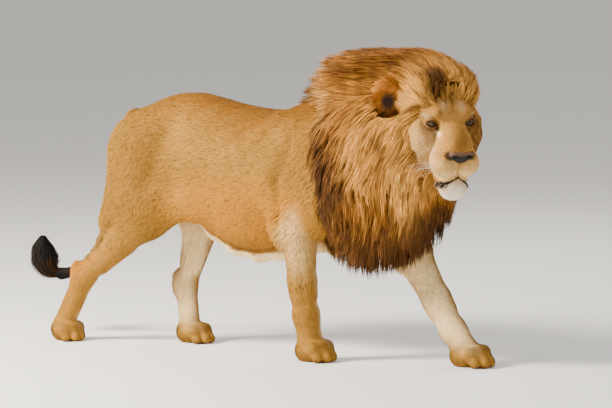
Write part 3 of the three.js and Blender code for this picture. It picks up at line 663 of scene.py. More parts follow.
# ---------------------------------------------------------------- the two forms
def coat_depth(points: Array) -> Array:
    """Depth of the short coat: 6.5 mm on the body, falling to 3 mm on the face and 2.5 mm at the feet."""
    face = ramp(HEAD.from_body(points)[:, 0], -190.0, -60.0) * ramp(points[:, 2], 600.0, 680.0)
    depth = 6.5 - 3.5 * face
    return depth - (depth - 2.5) * (1.0 - ramp(points[:, 2], 60.0, 330.0))


BELLY_FOLD = (
    ((-470, 0, 540), (-400, 0, 468), 40.0, 42.0),
    ((-400, 0, 468), (-300, 0, 418), 42.0, 44.0),
    ((-300, 0, 418), (-200, 0, 402), 44.0, 44.0),
    ((-200, 0, 402), (-100, 0, 414), 44.0, 43.0),
    ((-100, 0, 414), (0, 0, 432), 43.0, 42.0),
    ((0, 0, 432), (110, 0, 462), 42.0, 40.0),
)  # the loose fold under the belly: start, end and their radii


def body_shapes() -> list[Shape]:
    """Legs, neck, the folds between belly and thigh, the head and the tail."""
    limbs = [shape for leg in (*HIND_LEGS, *FORE_LEGS) for shape in leg.shapes()]
    neck = Cone(np.array((120, 0, 780)), np.array((515, -10, 930)), 190, 130, 0.85, 80)
    folds = [
        Cone(np.array((-450, -130, 560)), np.array((-620, -145, 520)), 40, 50, 0.5, 80),
        Cone(np.array((-420, 130, 560)), np.array((-530, 145, 540)), 40, 50, 0.5, 80),
        *(Cone(np.array(a), np.array(b), r, q, 1.0, 34) for a, b, r, q in BELLY_FOLD),
    ]
    return [*limbs, neck, *folds, *head_shapes(), *TAIL.shapes()]


@dataclass(frozen=True)
class Crease:
    """Soft hollow along a line seen from the side, on both sides of the body or on one."""

    start: tuple[float, float]
    end: tuple[float, float]
    width: float
    depth: float
    side: int = 0

    def at(self, points: Array) -> Array:
        """depth exp(-(d / width)^2), with d the distance to the line in x and z."""
        start, end = np.array(self.start), np.array(self.end)
        offset, axis = points[:, [0, 2]] - start, end - start
        share = np.clip(offset @ axis / (axis @ axis), 0.0, 1.0)
        away = np.linalg.norm(offset - share[:, None] * axis, axis=1)
        own = self.depth * np.exp(-((away / self.width) ** 2))
        return own * (points[:, 1] * self.side >= 0.0)


CREASES = (
    Crease((-530, 875), (-625, 660), 42.0, 11.0),  # hollow across the thigh
    Crease((-625, 660), (-690, 560), 34.0, 5.0, -1),
    Crease((68, 860), (4, 700), 22.0, 8.0),  # rear edge of the shoulder
    Crease((4, 700), (16, 540), 20.0, 9.0),
    Crease((-790, 470), (-905, 330), 17.0, 8.0, -1),  # hollow before the heel's tendon
    Crease((-590, 430), (-640, 300), 15.0, 6.0, 1),
    Crease((-760, 905), (-790, 760), 26.0, 5.0),
    Crease((96, 430), (100, 230), 16.0, 4.0, -1),  # between the muscles of the forearm
    Crease((470, 330), (560, 210), 16.0, 4.0, 1),
)


def mouth_height(aside: Array) -> Array:
    """Height of the lips' line in the head's frame: -185 - 25 (|y| / 44)^0.9, level further out."""
    return -185.0 - 25.0 * np.minimum(np.abs(aside) / 44.0, 1.0) ** 0.9


def on_lips(head: Array) -> Array:
    """Mask of the stretch of the face that the mouth runs through."""
    x, y, z = head.T
    across = 1.0 - ramp(np.abs(y), 80.0, 90.0)
    return ramp(x, 14.0, 34.0) * across * (1.0 - ramp(np.abs(z + 190.0), 45.0, 60.0))


def relief(points: Array) -> Array:
    """Depth of the hollows, the ribs, the lips' line, the furrow of the brow and the folds by the eyes."""
    value = sum(crease.at(points) for crease in CREASES)
    x, y, z = points.T
    side = ramp(np.abs(y), 90.0, 150.0) * ramp(z, 480.0, 560.0) * (1.0 - ramp(z, 800.0, 900.0))
    chest = ramp(x, -380.0, -300.0) * (1.0 - ramp(x, -40.0, 30.0))
    value = value + 0.9 * (1.0 + np.cos((x + 0.35 * z) * 2.0 * np.pi / 64.0)) * side * chest
    near_head = (z > 600.0) & (x > 480.0)
    head = HEAD.from_body(points[near_head])
    hx, hy, hz = head.T
    lips = 9.0 * np.exp(-(((hz - mouth_height(hy)) / 5.0) ** 2)) * on_lips(head)
    cleft = 5.0 * np.exp(-((hy / 4.0) ** 2)) * ramp(hx, 60.0, 80.0) * ramp(-hz, 104.0, 116.0)
    cleft = cleft * (1.0 - ramp(-hz, 176.0, 184.0))
    furrow = 5.0 * np.exp(-((hy / 7.0) ** 2)) * ramp(hz, 22.0, 48.0) * ramp(hx, -90.0, -50.0)
    folds = 1.1 * np.cos((np.abs(hy) * 0.5 + hz) * 2.0 * np.pi / 15.0)
    folds = folds * spot(head, (34, 0, -44), (60, 66, 26))
    own = np.zeros(len(points))
    own[near_head] = lips + cleft + furrow + folds
    return value + own


def skin_allowance(points: Array) -> Array:
    """What the skin lies under the flesh's outer form: the coat's depth and the relief."""
    return coat_depth(points) + relief(points)


SKIN = Form(body_shapes(), SPINE.distance, skin_allowance, floor=0.4)


@dataclass(frozen=True)
class ManeLocks:
    """Grooves between the great locks, which fan out round an upright line."""

    axis: tuple[float, float] = (430.0, -20.0)
    count: int = 8
    shallow: float = 4.0
    deep: float = 24.0

    def groove(self, points: Array) -> Array:
        """Depth of the groove: (1 - cos(count angle + 0.012 z)) / 2, deepening towards the lowest tips."""
        angle = np.arctan2(points[:, 1] - self.axis[1], points[:, 0] - self.axis[0])
        low = ramp(800.0 - points[:, 2], 0.0, 450.0)
        wave = 0.5 - 0.5 * np.cos(self.count * angle + 0.012 * points[:, 2])
        return wave * (self.shallow + (self.deep - self.shallow) * low)


def mane_shapes() -> list[Shape]:
    """Ruff round the face, crown, nape, sides of the neck and the apron that hangs on the chest."""
    shapes: list[Shape] = [
        head_ball((-150, 0, -30), (125, 196, 190), 80),
        head_ball((-125, 0, 110), (150, 160, 122), 60),
        Ball(np.array((365, 0, 1005)), (270, 160, 205), blend=80),
        Ball(np.array((120, 0, 985)), (165, 70, 80), blend=60),
        Ball(np.array((180, 0, 1075)), (155, 120, 115), blend=70),
        Ball(np.array((520, -10, 1070)), (150, 145, 140), blend=60),
        Ball(np.array((350, -25, 790)), (315, 255, 300), blend=100),
        Ball(np.array((325, -25, 540)), (225, 205, 238), blend=100),
        Ball(np.array((490, -55, 580)), (170, 150, 200), blend=80),
        Ball(np.array((600, -60, 680)), (110, 120, 150), blend=60),
        Ball(np.array((245, -25, 700)), (130, 215, 250), blend=80),
        head_ball((36, 0, -40), (158, 130, 206), 60, carve=True),
    ]
    for s in (-1, 1):
        shapes.append(head_ball((-140, s * 176, 62), (78, 54, 68), 25, carve=True))
    return shapes


MANE = Form(mane_shapes(), allowance=ManeLocks().groove)


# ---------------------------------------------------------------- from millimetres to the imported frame
def frame_shift() -> Array:
    """The lion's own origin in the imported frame: middle of the right eyeball less its drawn place."""
    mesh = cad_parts["eye_right"].data
    points = np.empty(len(mesh.vertices) * 3)
    mesh.vertices.foreach_get("co", points)
    return points.reshape(-1, 3).mean(axis=0) - HEAD.onto_body(EYE.centre(Side.RIGHT)) * MM


SHIFT = frame_shift()


def placed(points: Array) -> Array:
    """Millimetres in the lion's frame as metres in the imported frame."""
    return np.asarray(points) * MM + SHIFT


@dataclass
class Sheet:
    """A mesh in the making: points in millimetres, faces, and what each point carries."""

    points: Array
    faces: Array
    normals: Array | None = None
    colours: Array | None = None
    uv: Array | None = None  # one row for each point

    def piece(self, name: str, finish: "Finish", slot: str, nodes: tuple[str, ...] = ()) -> bpy.types.Object:
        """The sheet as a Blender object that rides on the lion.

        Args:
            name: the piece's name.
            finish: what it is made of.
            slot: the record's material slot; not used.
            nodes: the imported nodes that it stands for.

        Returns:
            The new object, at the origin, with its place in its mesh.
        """
        mesh = bpy.data.meshes.new(name)
        mesh.from_pydata(placed(self.points), [], self.faces)
        mesh.shade_smooth()
        corners = self.faces.reshape(-1)
        if self.uv is not None:
            mesh.uv_layers.new(name=BAKE_MAP).uv.foreach_set("vector", self.uv[corners].ravel())
        if self.colours is not None:
            rgba = np.column_stack([self.colours, np.ones(len(self.points))])
            mesh.color_attributes.new(COLOUR, "FLOAT_COLOR", "POINT").data.foreach_set("color", rgba.ravel())
        if self.normals is not None:
            mesh.normals_split_custom_set_from_vertices(self.normals)
        mesh.materials.append(finish.material())
        piece = bpy.data.objects.new(name, mesh)
        bpy.context.scene.collection.objects.link(piece)
        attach(piece, "root")
        if nodes:
            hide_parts(*nodes)
        LOG.info("%s: %d points, %d faces", name, len(self.points), len(self.faces))
        return piece


def lattice(rows: int, columns: int, closed: bool) -> Array:
    """Quads of a grid of points, row after row; closed joins the last column to the first."""
    spans = columns if closed else columns - 1
    i, j = np.meshgrid(np.arange(rows - 1), np.arange(spans), indexing="ij")
    i, j, k = i.ravel(), j.ravel(), (j.ravel() + 1) % columns
    return np.stack([i * columns + j, i * columns + k, (i + 1) * columns + k, (i + 1) * columns + j], axis=1)


def triangles(quads: Array) -> Array:
    """Each quad cut in two."""
    return quads[:, [0, 1, 2, 0, 2, 3]].reshape(-1, 3)


# ---------------------------------------------------------------- finishes
def maths(nodes: bpy.types.Nodes, operation: str, second: float | None = None) -> bpy.types.Node:
    """Arithmetic node, its second input set where a value is given."""
    node = nodes.new("ShaderNodeMath")
    node.operation = operation
    if second is not None:
        node.inputs[1].default_value = second
    return node


def hair_fleck_group() -> bpy.types.NodeTree:
    """Shader group of fine mottling: a factor for the colour, a roughness and a height for the bump."""
    group = bpy.data.node_groups.new("hair_flecks", "ShaderNodeTree")
    for name in ("Fineness", "Contrast", "Roughness"):
        group.interface.new_socket(name, in_out="INPUT", socket_type="NodeSocketFloat")
    for name in ("Shade", "Roughness", "Height"):
        group.interface.new_socket(name, in_out="OUTPUT", socket_type="NodeSocketFloat")
    nodes, links = group.nodes, group.links
    given, given_out = nodes.new("NodeGroupInput"), nodes.new("NodeGroupOutput")
    place = nodes.new("ShaderNodeTexCoord")
    fine, broad = nodes.new("ShaderNodeTexNoise"), nodes.new("ShaderNodeTexNoise")
    fine.inputs["Detail"].default_value = 3.0
    broad.inputs["Scale"].default_value = 14.0
    blend, centred = maths(nodes, "ADD"), maths(nodes, "SUBTRACT", 1.0)
    scaled, shade = maths(nodes, "MULTIPLY"), maths(nodes, "ADD", 1.0)
    rough = maths(nodes, "MULTIPLY_ADD", 0.15)
    for start, end in (
        (place.outputs["Object"], fine.inputs["Vector"]),
        (place.outputs["Object"], broad.inputs["Vector"]),
        (given.outputs["Fineness"], fine.inputs["Scale"]),
        (fine.outputs["Fac"], blend.inputs[0]),
        (broad.outputs["Fac"], blend.inputs[1]),
        (blend.outputs[0], centred.inputs[0]),
        (centred.outputs[0], scaled.inputs[0]),
        (given.outputs["Contrast"], scaled.inputs[1]),
        (scaled.outputs[0], shade.inputs[0]),
        (fine.outputs["Fac"], rough.inputs[0]),
        (given.outputs["Roughness"], rough.inputs[2]),
        (shade.outputs[0], given_out.inputs["Shade"]),
        (rough.outputs[0], given_out.inputs["Roughness"]),
        (fine.outputs["Fac"], given_out.inputs["Height"]),
    ):
        links.new(start, end)
    return group


@dataclass(frozen=True)
class Finish:
    """A finish that reads the piece's own colours, mottles them and raises a fine bump."""

    name: str
    roughness: float = 0.7
    fineness: float = 400.0
    contrast: float = 0.2
    bump: float = 0.1
    bump_distance: float = 0.002
    specular: float = 0.3
    coat: float = 0.0

    def material(self) -> bpy.types.Material:
        """The finish as a material, made once and shared by every piece that asks for it."""
        if self.name in bpy.data.materials:
            return bpy.data.materials[self.name]
        material = bpy.data.materials.new(self.name)
        material.use_nodes = True
        nodes, links = material.node_tree.nodes, material.node_tree.links
        shader = nodes["Principled BSDF"]
        own = nodes.new("ShaderNodeVertexColor")
        own.layer_name = COLOUR
        flecks = nodes.new("ShaderNodeGroup")
        flecks.node_tree = bpy.data.node_groups.get("hair_flecks") or hair_fleck_group()
        lowest = self.roughness - 0.07
        for name, value in (("Fineness", self.fineness), ("Contrast", self.contrast), ("Roughness", lowest)):
            flecks.inputs[name].default_value = value
        shaded = nodes.new("ShaderNodeVectorMath")
        shaded.operation = "SCALE"
        bump = nodes.new("ShaderNodeBump")
        bump.inputs["Strength"].default_value = self.bump
        bump.inputs["Distance"].default_value = self.bump_distance
        for start, end in (
            (own.outputs["Color"], shaded.inputs[0]),
            (flecks.outputs["Shade"], shaded.inputs["Scale"]),
            (shaded.outputs[0], shader.inputs["Base Color"]),
            (flecks.outputs["Roughness"], shader.inputs["Roughness"]),
            (flecks.outputs["Height"], bump.inputs["Height"]),
            (bump.outputs["Normal"], shader.inputs["Normal"]),
        ):
            links.new(start, end)
        shader.inputs["Specular IOR Level"].default_value = self.specular
        shader.inputs["Coat Weight"].default_value = self.coat
        shader.inputs["Coat Roughness"].default_value = 0.04
        return material


HIDE = Finish("short_hair", 0.85, 520.0, 0.22, 0.35, 0.002, 0.04)
TUFTS = Finish("hair_tips", 0.75, 300.0, 0.2, 0.1, 0.001, 0.05)
MANE_HAIR = Finish("mane_hair", 0.62, 160.0, 0.36, 0.1, 0.001, 0.08)
WET_LEATHER = Finish("nose_leather", 0.55, 900.0, 0.35, 0.6, 0.0008, 0.2)
EYEBALL = Finish("eyeball", 0.3, 900.0, 0.1, 0.02, 0.0002, 0.15, coat=0.15)
WHISKER = Finish("whisker", 0.4, 200.0, 0.1, 0.0, 0.001, 0.5)


# ---------------------------------------------------------------- colours of the coat
TAWNY = np.array((0.29, 0.140, 0.022))
BACK_TAN = np.array((0.19, 0.070, 0.007))
THIGH_TAN = np.array((0.21, 0.098, 0.014))
WARM_SAND = np.array((0.40, 0.155, 0.011))
CREAM = np.array((0.90, 0.66, 0.33))
LEG_SAND = np.array((0.31, 0.150, 0.024))
CHIN_WHITE = np.array((0.86, 0.77, 0.60))
FACE_TAN = np.array((0.44, 0.210, 0.044))
MANE_TAN = np.array((0.42, 0.168, 0.024))
MANE_BROWN = np.array((0.13, 0.046, 0.009))
GOLD = np.array((0.68, 0.325, 0.060))
UMBER = np.array((0.050, 0.020, 0.006))
SOOT = np.array((0.012, 0.010, 0.009))
UNDER_HAIR = 0.85  # the skin under the hair is this share as bright as the hair


@dataclass(frozen=True)
class Patch:
    """Soft ellipsoid of one colour, with its strength and how soft its edge is."""

    centre: Triple
    radii: Triple
    colour: Array
    strength: float
    soft: float = 0.5

    def over(self, colour: Array, points: Array, share: Array | float = 1.0) -> Array:
        """The colour with the patch laid over it, by its mask times its strength times a share."""
        mask = spot(points, self.centre, self.radii, self.soft)
        return mix(colour, self.colour, mask * self.strength * share)


def laid(patches: tuple[Patch, ...], colour: Array, points: Array) -> Array:
    """The colour with each patch laid over it in turn."""
    for patch in patches:
        colour = patch.over(colour, points)
    return colour


HAUNCH_AND_FLANK = (
    Patch((-700, 0, 560), (190, 400, 230), THIGH_TAN, 0.75),  # thigh
    Patch((-720, 0, 800), (170, 400, 150), THIGH_TAN, 0.7, 0.8),  # rump
    Patch((-150, 0, 560), (400, 400, 130), WARM_SAND, 0.8),  # lower flank
)
# painted shade: darkening in the groin, between the belly and the thighs
GROIN_SHADE = Patch((-520, 0, 500), (95, 110, 110), THIGH_TAN * 0.6, 0.7)
UPPER_ARM = Patch((80, 0, 470), (56, 400, 120), CREAM * (0.95, 0.9, 0.8), 0.45, 0.6)
# from here to the chin in the head's frame
BROW_STREAKS = Patch((-50, 0, 112), (100, 60, 50), UMBER * 2.0, 1.0)
BROW_CORNER = Patch((0, -52, 44), (50, 12, 13), UMBER, 0.5)
BROW_AND_BRIDGE = (
    Patch((8, 34, 58), (50, 17, 22), CREAM, 0.2),
    Patch((80, 0, -58), (80, 30, 44), THIGH_TAN * 0.9, 0.75),
)
# the cheek's own cream, laid on the near side only: partly real colour, partly painted light of the lit side
NEAR_CHEEK_PALE_AND_LIT = Patch((5, 100, -84), (64, 40, 56), CREAM, 1.0, 0.9)
# painted shade over the far cheek, the side of the face turned away from the light
FAR_CHEEK_SHADE = Patch((-20, 122, -60), (80, 42, 130), UMBER * 1.6, 1.0, 0.6)
EYE_CORNERS = (
    Patch((26, 54, -34), (34, 18, 14), CREAM, 0.75),
    Patch((-8, 86, 26), (30, 26, 9), CREAM, 0.35),
)
WHISKER_PAD = Patch((74, 50, -150), (78, 56, 42), CREAM * (1.02, 0.97, 0.8), 1.0, 0.35)
WHISKER_ROWS = Patch((70, 64, -155), (50, 40, 32), WARM_SAND * (0.62, 0.7, 1.2), 0.85, 0.25)
CHIN = (
    Patch((66, 0, -240), (72, 54, 44), CHIN_WHITE, 1.0),
    Patch((20, 78, -216), (36, 22, 26), MANE_BROWN * 1.8, 0.6, 0.6),  # behind the corners of the mouth
)


@dataclass(frozen=True)
class LegLine:
    """Middle line of one leg as x and y over its height, for what follows the leg down."""

    side: Side
    joints: Array  # from the ground up

    @staticmethod
    def of(leg: HindLeg | ForeLeg) -> "LegLine":
        """Line of a leg through the joints below its body."""
        hind, fore = ("ball", "hock", "knee", "hip"), ("ball", "wrist", "elbow", "shoulder")
        names = hind if isinstance(leg, HindLeg) else fore
        return LegLine(leg.side, np.array([getattr(leg, name) for name in names], float))

    def at(self, height: Array) -> Array:
        """x and y of the line at each height, straight between the joints."""
        return np.stack([np.interp(height, self.joints[:, 2], self.joints[:, k]) for k in (0, 1)], axis=1)

    def down(self, height: Array, step: float = 40.0) -> Array:
        """Unit way down the leg at each height."""
        run = self.at(height - step) - self.at(height + step)
        return unit(np.column_stack([run, np.full(len(height), -2.0 * step)]))


HIND_LINES = tuple(LegLine.of(leg) for leg in HIND_LEGS)
FORE_LINES = tuple(LegLine.of(leg) for leg in FORE_LEGS)
LEG_GAP = -250.0  # x between the hind legs and the forelegs
TAIL_SIDE = -75.0  # y to the right of which nothing behind the croup is the tail


def own_leg(points: Array) -> list[tuple[LegLine, Array, bool]]:
    """Each leg's line with the mask of the points on its side of the body, and whether it is a hind leg."""
    behind = points[:, 0] < LEG_GAP
    return [
        (line, (points[:, 1] * line.side.value >= 0.0) & (behind == hind), hind)
        for lines, hind in ((HIND_LINES, True), (FORE_LINES, False))
        for line in lines
    ]


@dataclass(frozen=True)
class Markings:
    """Colours of the short coat, as soft masks laid one over the other."""

    top_row: float = -132.0  # height of the uppermost row of whiskers in the head's frame
    row_step: float = 12.5
    rows: int = 4
    lips: tuple[float, float] = (5.0, 8.2)  # half width of the black line and of its soft edge
    corners: float = 3.5  # how much wider the line gets towards the corners of the mouth
    lids: tuple[float, float] = (5.0, 9.5)  # the same for the strip past the lids' edges

    def body(self, points: Array) -> Array:
        """Tawny flank, darker back, brown thigh, orange lower flank, cream belly fold with a painted shade
        line along its top, and painted shade in the groin.
        """
        x, y, z = points.T
        top, bottom, _ = SPINE.sections(np.clip(x, -560.0, 250.0)).T
        height = (z - bottom) / (top - bottom)
        wander = ripple(points, 160.0, 3)
        browner = 0.35 * ramp(ripple(points, 260.0, 4), -0.2, 0.9)
        colour = mix(np.broadcast_to(TAWNY, points.shape), THIGH_TAN, browner)
        colour = mix(colour, BACK_TAN, ramp(height + 0.05 * wander, 0.74, 1.02) * 0.9)
        colour = laid(HAUNCH_AND_FLANK, colour, points)
        fold_x, _, fold_z = np.array([start for start, *_ in BELLY_FOLD]).T
        belly = ramp(x, -500.0, -450.0) * (1.0 - ramp(x, 60.0, 110.0)) * (np.abs(y) < 120.0)
        under = z - np.interp(x, fold_x, fold_z) + 5.0 * wander
        # painted shade: a dark line along the top of the belly fold, where it hangs from the flank
        colour = mix(colour, MANE_BROWN, np.exp(-(((under - 4.0) / 9.0) ** 2)) * belly * 0.6)
        colour = mix(colour, CREAM, (1.0 - ramp(under, -15.0, -4.0)) * belly)
        # painted shade in the groin
        return GROIN_SHADE.over(colour, points, np.abs(y) < 115.0)

    def legs(self, points: Array, colour: Array) -> Array:
        """Sandy legs, cream on the inner faces, orange behind the hocks and the forearms."""
        x, y, z = points.T
        wander = ripple(points, 90.0, 6)
        for line, mine, hind in own_leg(points):
            middle = line.at(z)
            mine = mine * (1.0 - ramp(np.abs(x - middle[:, 0]) + 12.0 * wander, 85.0, 125.0))
            sandy = (330.0, 520.0) if hind else (430.0, 640.0)
            colour = mix(colour, LEG_SAND, (1.0 - ramp(z + 20.0 * wander, *sandy)) * mine)
            colour = UPPER_ARM.over(colour, points, mine * (not hind))
            inner = ramp(line.side.value * (middle[:, 1] - y) + 8.0 * wander, -12.0, 34.0)
            colour = mix(colour, CREAM, (1.0 - ramp(z, 420.0, 560.0)) * mine * inner * 0.9)
            rear = ramp(middle[:, 0] - x + 6.0 * wander, 0.0, 60.0)
            heel = ramp(z, 120.0, 200.0) * (1.0 - ramp(z, 330.0, 450.0))
            colour = mix(colour, WARM_SAND * (1.0, 0.85, 0.7), heel * rear * mine * (0.6 if hind else 0.25))
        return mix(colour, LEG_SAND * (1.1, 1.12, 1.12), 1.0 - ramp(z + 8.0 * wander, 40.0, 150.0))

    def tail(self, points: Array, colour: Array) -> Array:
        """Grey-tan tail, soot from where its tuft begins."""
        back, own = -points[:, 0], points[:, 1] > TAIL_SIDE
        colour = mix(colour, THIGH_TAN * (1.2, 1.5, 2.4), ramp(back, 855.0, 900.0) * own)
        return mix(colour, SOOT, ramp(back, 1060.0, 1100.0) * own)

    def face(self, points: Array, colour: Array) -> Array:
        """Face over the given colours.

        Gold brow with dark streaks and painted shade in its creases, brown bridge, pale eye corners, a pale
        near cheek partly painted as lit, painted shade over the far cheek, cream whisker pads with tan rows,
        white chin, black lips and lids with the line that runs down from the inner corner.
        """
        head = HEAD.from_body(points)
        x, y, z = head.T
        even = np.column_stack([x, np.abs(y), z])
        wander, fine = ripple(head, 45.0, 5), ripple(head, 14.0, 6)
        browner = 0.4 * ramp(wander + fine, -0.3, 1.4)
        face = mix(np.broadcast_to(FACE_TAN, points.shape), THIGH_TAN, browner)
        streaks = 0.5 + 0.5 * np.sin(y / 7.5 + 1.6 * wander)
        face = BROW_STREAKS.over(face, head, 0.1 + 0.55 * streaks**2)
        # painted shade in a crease of the brow on the near side
        near_crease_shade = np.exp(-(((y + 23.0 - 0.12 * (z - 70.0)) / 5.0) ** 2))
        face = mix(face, UMBER, near_crease_shade * spot(head, (0, 0, 80), (70, 50, 44)) * 0.9)
        # painted shade in the furrow down the middle of the brow
        middle_crease_shade = np.exp(-(((y - 2.0) / 4.0) ** 2))
        face = mix(face, UMBER, middle_crease_shade * spot(head, (0, 0, 66), (60, 30, 30)) * 0.6)
        face = laid(BROW_AND_BRIDGE, BROW_CORNER.over(face, head), even)
        # pale cheek only where y < 0, the near side: partly painted light
        face = NEAR_CHEEK_PALE_AND_LIT.over(face, even, (y < 0.0) * (0.45 + 0.35 * fine))
        # painted shade on the far cheek only
        face = FAR_CHEEK_SHADE.over(face, head, 0.75 + 0.3 * fine)
        face = laid(EYE_CORNERS, face, even)
        face = WHISKER_PAD.over(face, even, 0.4 + 0.5 * ramp(-z, 142.0, 178.0))
        rank = np.clip(np.round((self.top_row - z) / self.row_step), 0, self.rows)
        off = np.abs(z - self.top_row + rank * self.row_step + 0.12 * (x - 80.0)) + 1.4 * np.cos(x * 0.57)
        face = WHISKER_ROWS.over(face, even, 1.0 - ramp(off, 1.2, 4.2))
        face = self.mouth(laid(CHIN, face, even), even)
        on_head = ramp(x, -190.0, -150.0) * ramp(points[:, 2], 560.0, 640.0)
        on_head = on_head * ramp(points[:, 0], 480.0, 540.0)
        return mix(colour, self.eyes(face, head, even), on_head)

    def mouth(self, face: Array, even: Array) -> Array:
        """Black line of the lips, wider at the corners, the cleft above it and the wings of the nose."""
        x, away, z = even.T
        gap = np.abs(z - mouth_height(away)) - self.corners * ramp(away, 18.0, 46.0)
        face = mix(face, SOOT, (1.0 - ramp(gap, *self.lips)) * on_lips(even))
        cleft = np.exp(-((away / 3.6) ** 2)) * ramp(x, 60.0, 80.0)
        cleft = cleft * ramp(-z, 104.0, 116.0) * (1.0 - ramp(-z, 184.0, 190.0))
        return mix(face, SOOT, np.maximum(cleft, spot(even, (118, 42, -100), (26, 14, 17), 0.4)) * 0.95)

    def eyes(self, face: Array, head: Array, even: Array) -> Array:
        """Painted shade round the eyes, then the black strips by the lids and the line at the inner corner.
        """
        tear = spot(even, (24, 55, -17), (20, 9, 9), 0.45)
        reach = np.linalg.norm(even - (EYE.ahead, EYE.aside, 0.0), axis=1)
        # painted shade in the sockets round the eyes
        face = mix(face, UMBER, (1.0 - ramp(reach, 30.0, 38.0)) * 0.35)
        rim = (1.0 - ramp(reach, 28.0, 32.0)) * ramp(even[:, 0], 0.0, 8.0)
        return mix(face, SOOT, np.maximum(tear * 0.9, rim * self.near_lids(head)))

    def near_lids(self, head: Array) -> Array:
        """Mask of the dark strip along both lids' edges, falling with the distance past the opening."""
        strip = np.zeros(len(head))
        for side in Side:
            past = EyeOpening(side).past(head)
            strip = np.maximum(strip, (1.0 - ramp(past, *self.lids)) * (head[:, 1] * side.value > 0.0))
        return strip

    def ear(self, points: Array, colour: Array) -> Array:
        """Brown ears, painted shade deep inside the cup, and soot on the back of the rim."""
        for side in Side:
            local = (HEAD.from_body(points) - EAR.centre(side)) @ (HEAD.turn.T @ EAR.turn(side))
            size = np.linalg.norm(local / EAR.radii, axis=1)
            near = 1.0 - ramp(size, 1.1, 1.5)
            colour = mix(colour, MANE_TAN * (0.95, 0.85, 0.8), near)
            # painted shade deep in the hollow of the ear's cup
            inside = spot(local, (EAR.radii[0] * 0.3, -6.0 * side.value, -10), (20, 30, 40), 0.4)
            colour = mix(colour, SOOT * 2.0, inside * (size < 1.0) * 0.95)
            colour = mix(colour, SOOT * 1.5, near * ramp(-local[:, 0], 2.0, 14.0) * 0.85)
        return colour

    def at(self, points: Array) -> Array:
        """Colour of the short coat at each point."""
        colour = self.tail(points, self.legs(points, self.body(points)))
        return np.clip(self.ear(points, self.face(points, colour)), 0.0, 1.0)


MARKINGS = Markings()


# ---------------------------------------------------------------- the skin
@dataclass
class Skin:
    """The one skin of the whole lion: a coarse net over the body, a fine one over the head."""

    nodes: tuple[str, ...] = (
        "trunk", "neck", "head", "face", "lower_jaw", "ear_right", "ear_left",
        "shoulder_right", "forearm_right", "front_paw_right",
        "shoulder_left", "forearm_left", "front_paw_left",
        "thigh_right", "shank_right", "hock_right", "hind_paw_right",
        "thigh_left", "shank_left", "hock_left", "hind_paw_left",
        "tail_base", "tail_middle", "tail_end",
    )  # fmt: skip
    coarse: Triple = (8.0, 7.5, 9.0)
    sole: float = 4.5  # height of a cell in the feet
    fine: float = 2.6
    seam_at: Triple = (549.0, -16.0, 974.0)
    seam_facing: Triple = (0.80, -0.50, 0.33)
    seam_gap: float = 3.0
    head_low: Triple = (430.0, -345.0, 620.0)  # box of the fine net
    head_high: Triple = (960.0, 130.0, 1140.0)

    def body_net(self) -> tuple[Array, Array]:
        """Net over the whole lion, finer in height through the feet."""
        x = np.arange(-1290.0, 1010.0, self.coarse[0])
        y = np.arange(-340.0, 340.0, self.coarse[1])
        z = np.concatenate([np.arange(-9.0, 110.0, self.sole), np.arange(114.0, 1150.0, self.coarse[2])])
        return SKIN.surface([x, y, z])

    def head_net(self) -> tuple[Array, Array]:
        """Fine net over the head and the top of the neck."""
        ends = zip(self.head_low, self.head_high)
        return SKIN.surface([np.arange(low, high, self.fine) for low, high in ends])

    def joined(self) -> bpy.types.Mesh:
        """Both nets cut along one plane behind the head, and the two edges bridged."""
        facing = unit(np.array(self.seam_facing))
        seam = bmesh.new()
        nets = ((self.body_net(), False, -self.seam_gap), (self.head_net(), True, self.seam_gap))
        for net, keep_ahead, gap in nets:
            mesh = bpy.data.meshes.new("net")
            mesh.from_pydata(net[0], [], net[1])
            half = bmesh.new()
            half.from_mesh(mesh)
            bmesh.ops.bisect_plane(
                half,
                geom=[*half.verts, *half.edges, *half.faces],
                plane_co=Vector(np.array(self.seam_at) + facing * gap),
                plane_no=Vector(facing),
                clear_inner=keep_ahead,
                clear_outer=not keep_ahead,
            )
            half.to_mesh(mesh)
            half.free()
            seam.from_mesh(mesh)
            bpy.data.meshes.remove(mesh)
        edges = [edge for edge in seam.edges if edge.is_boundary]
        bmesh.ops.bridge_loops(seam, edges=edges)
        bmesh.ops.triangulate(seam, faces=[face for face in seam.faces if len(face.verts) > 4])
        bmesh.ops.recalc_face_normals(seam, faces=seam.faces)
        mesh = bpy.data.meshes.new("skin")
        seam.to_mesh(mesh)
        seam.free()
        return mesh

    def build(self) -> bpy.types.Object:
        """Skin as a piece with its colours and an unwrap of its own shape."""
        mesh = self.joined()
        points = np.empty(len(mesh.vertices) * 3)
        mesh.vertices.foreach_get("co", points)
        points = points.reshape(-1, 3)
        mesh.vertices.foreach_set("co", placed(points).ravel())
        mesh.shade_smooth()
        rgba = np.column_stack([MARKINGS.at(points) * UNDER_HAIR, np.ones(len(points))])
        mesh.color_attributes.new(COLOUR, "FLOAT_COLOR", "POINT").data.foreach_set("color", rgba.ravel())
        mesh.materials.append(HIDE.material())
        skin = bpy.data.objects.new("skin", mesh)
        bpy.context.scene.collection.objects.link(skin)
        self.unwrap(skin)
        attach(skin, "root")
        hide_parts(*self.nodes)
        LOG.info("skin: %d points, %d faces", len(mesh.vertices), len(mesh.polygons))
        return skin

    def unwrap(self, skin: bpy.types.Object) -> None:
        """Unwrap by the way each face turns, packed into one square."""
        skin.data.uv_layers.new(name=BAKE_MAP)
        bpy.context.view_layer.objects.active = skin
        skin.select_set(True)
        bpy.ops.object.mode_set(mode="EDIT")
        bpy.ops.mesh.select_all(action="SELECT")
        bpy.ops.uv.smart_project(angle_limit=1.15, island_margin=0.002)
        bpy.ops.object.mode_set(mode="OBJECT")
        skin.select_set(False)


# ---------------------------------------------------------------- hair
@dataclass
class Roots:
    """Where hairs start: points, normals of the skin there and places on its unwrap."""

    points: Array
    normals: Array
    uv: Array

    def where(self, keep: Array) -> "Roots":
        """Only the roots that a mask keeps."""
        return Roots(self.points[keep], self.normals[keep], self.uv[keep])


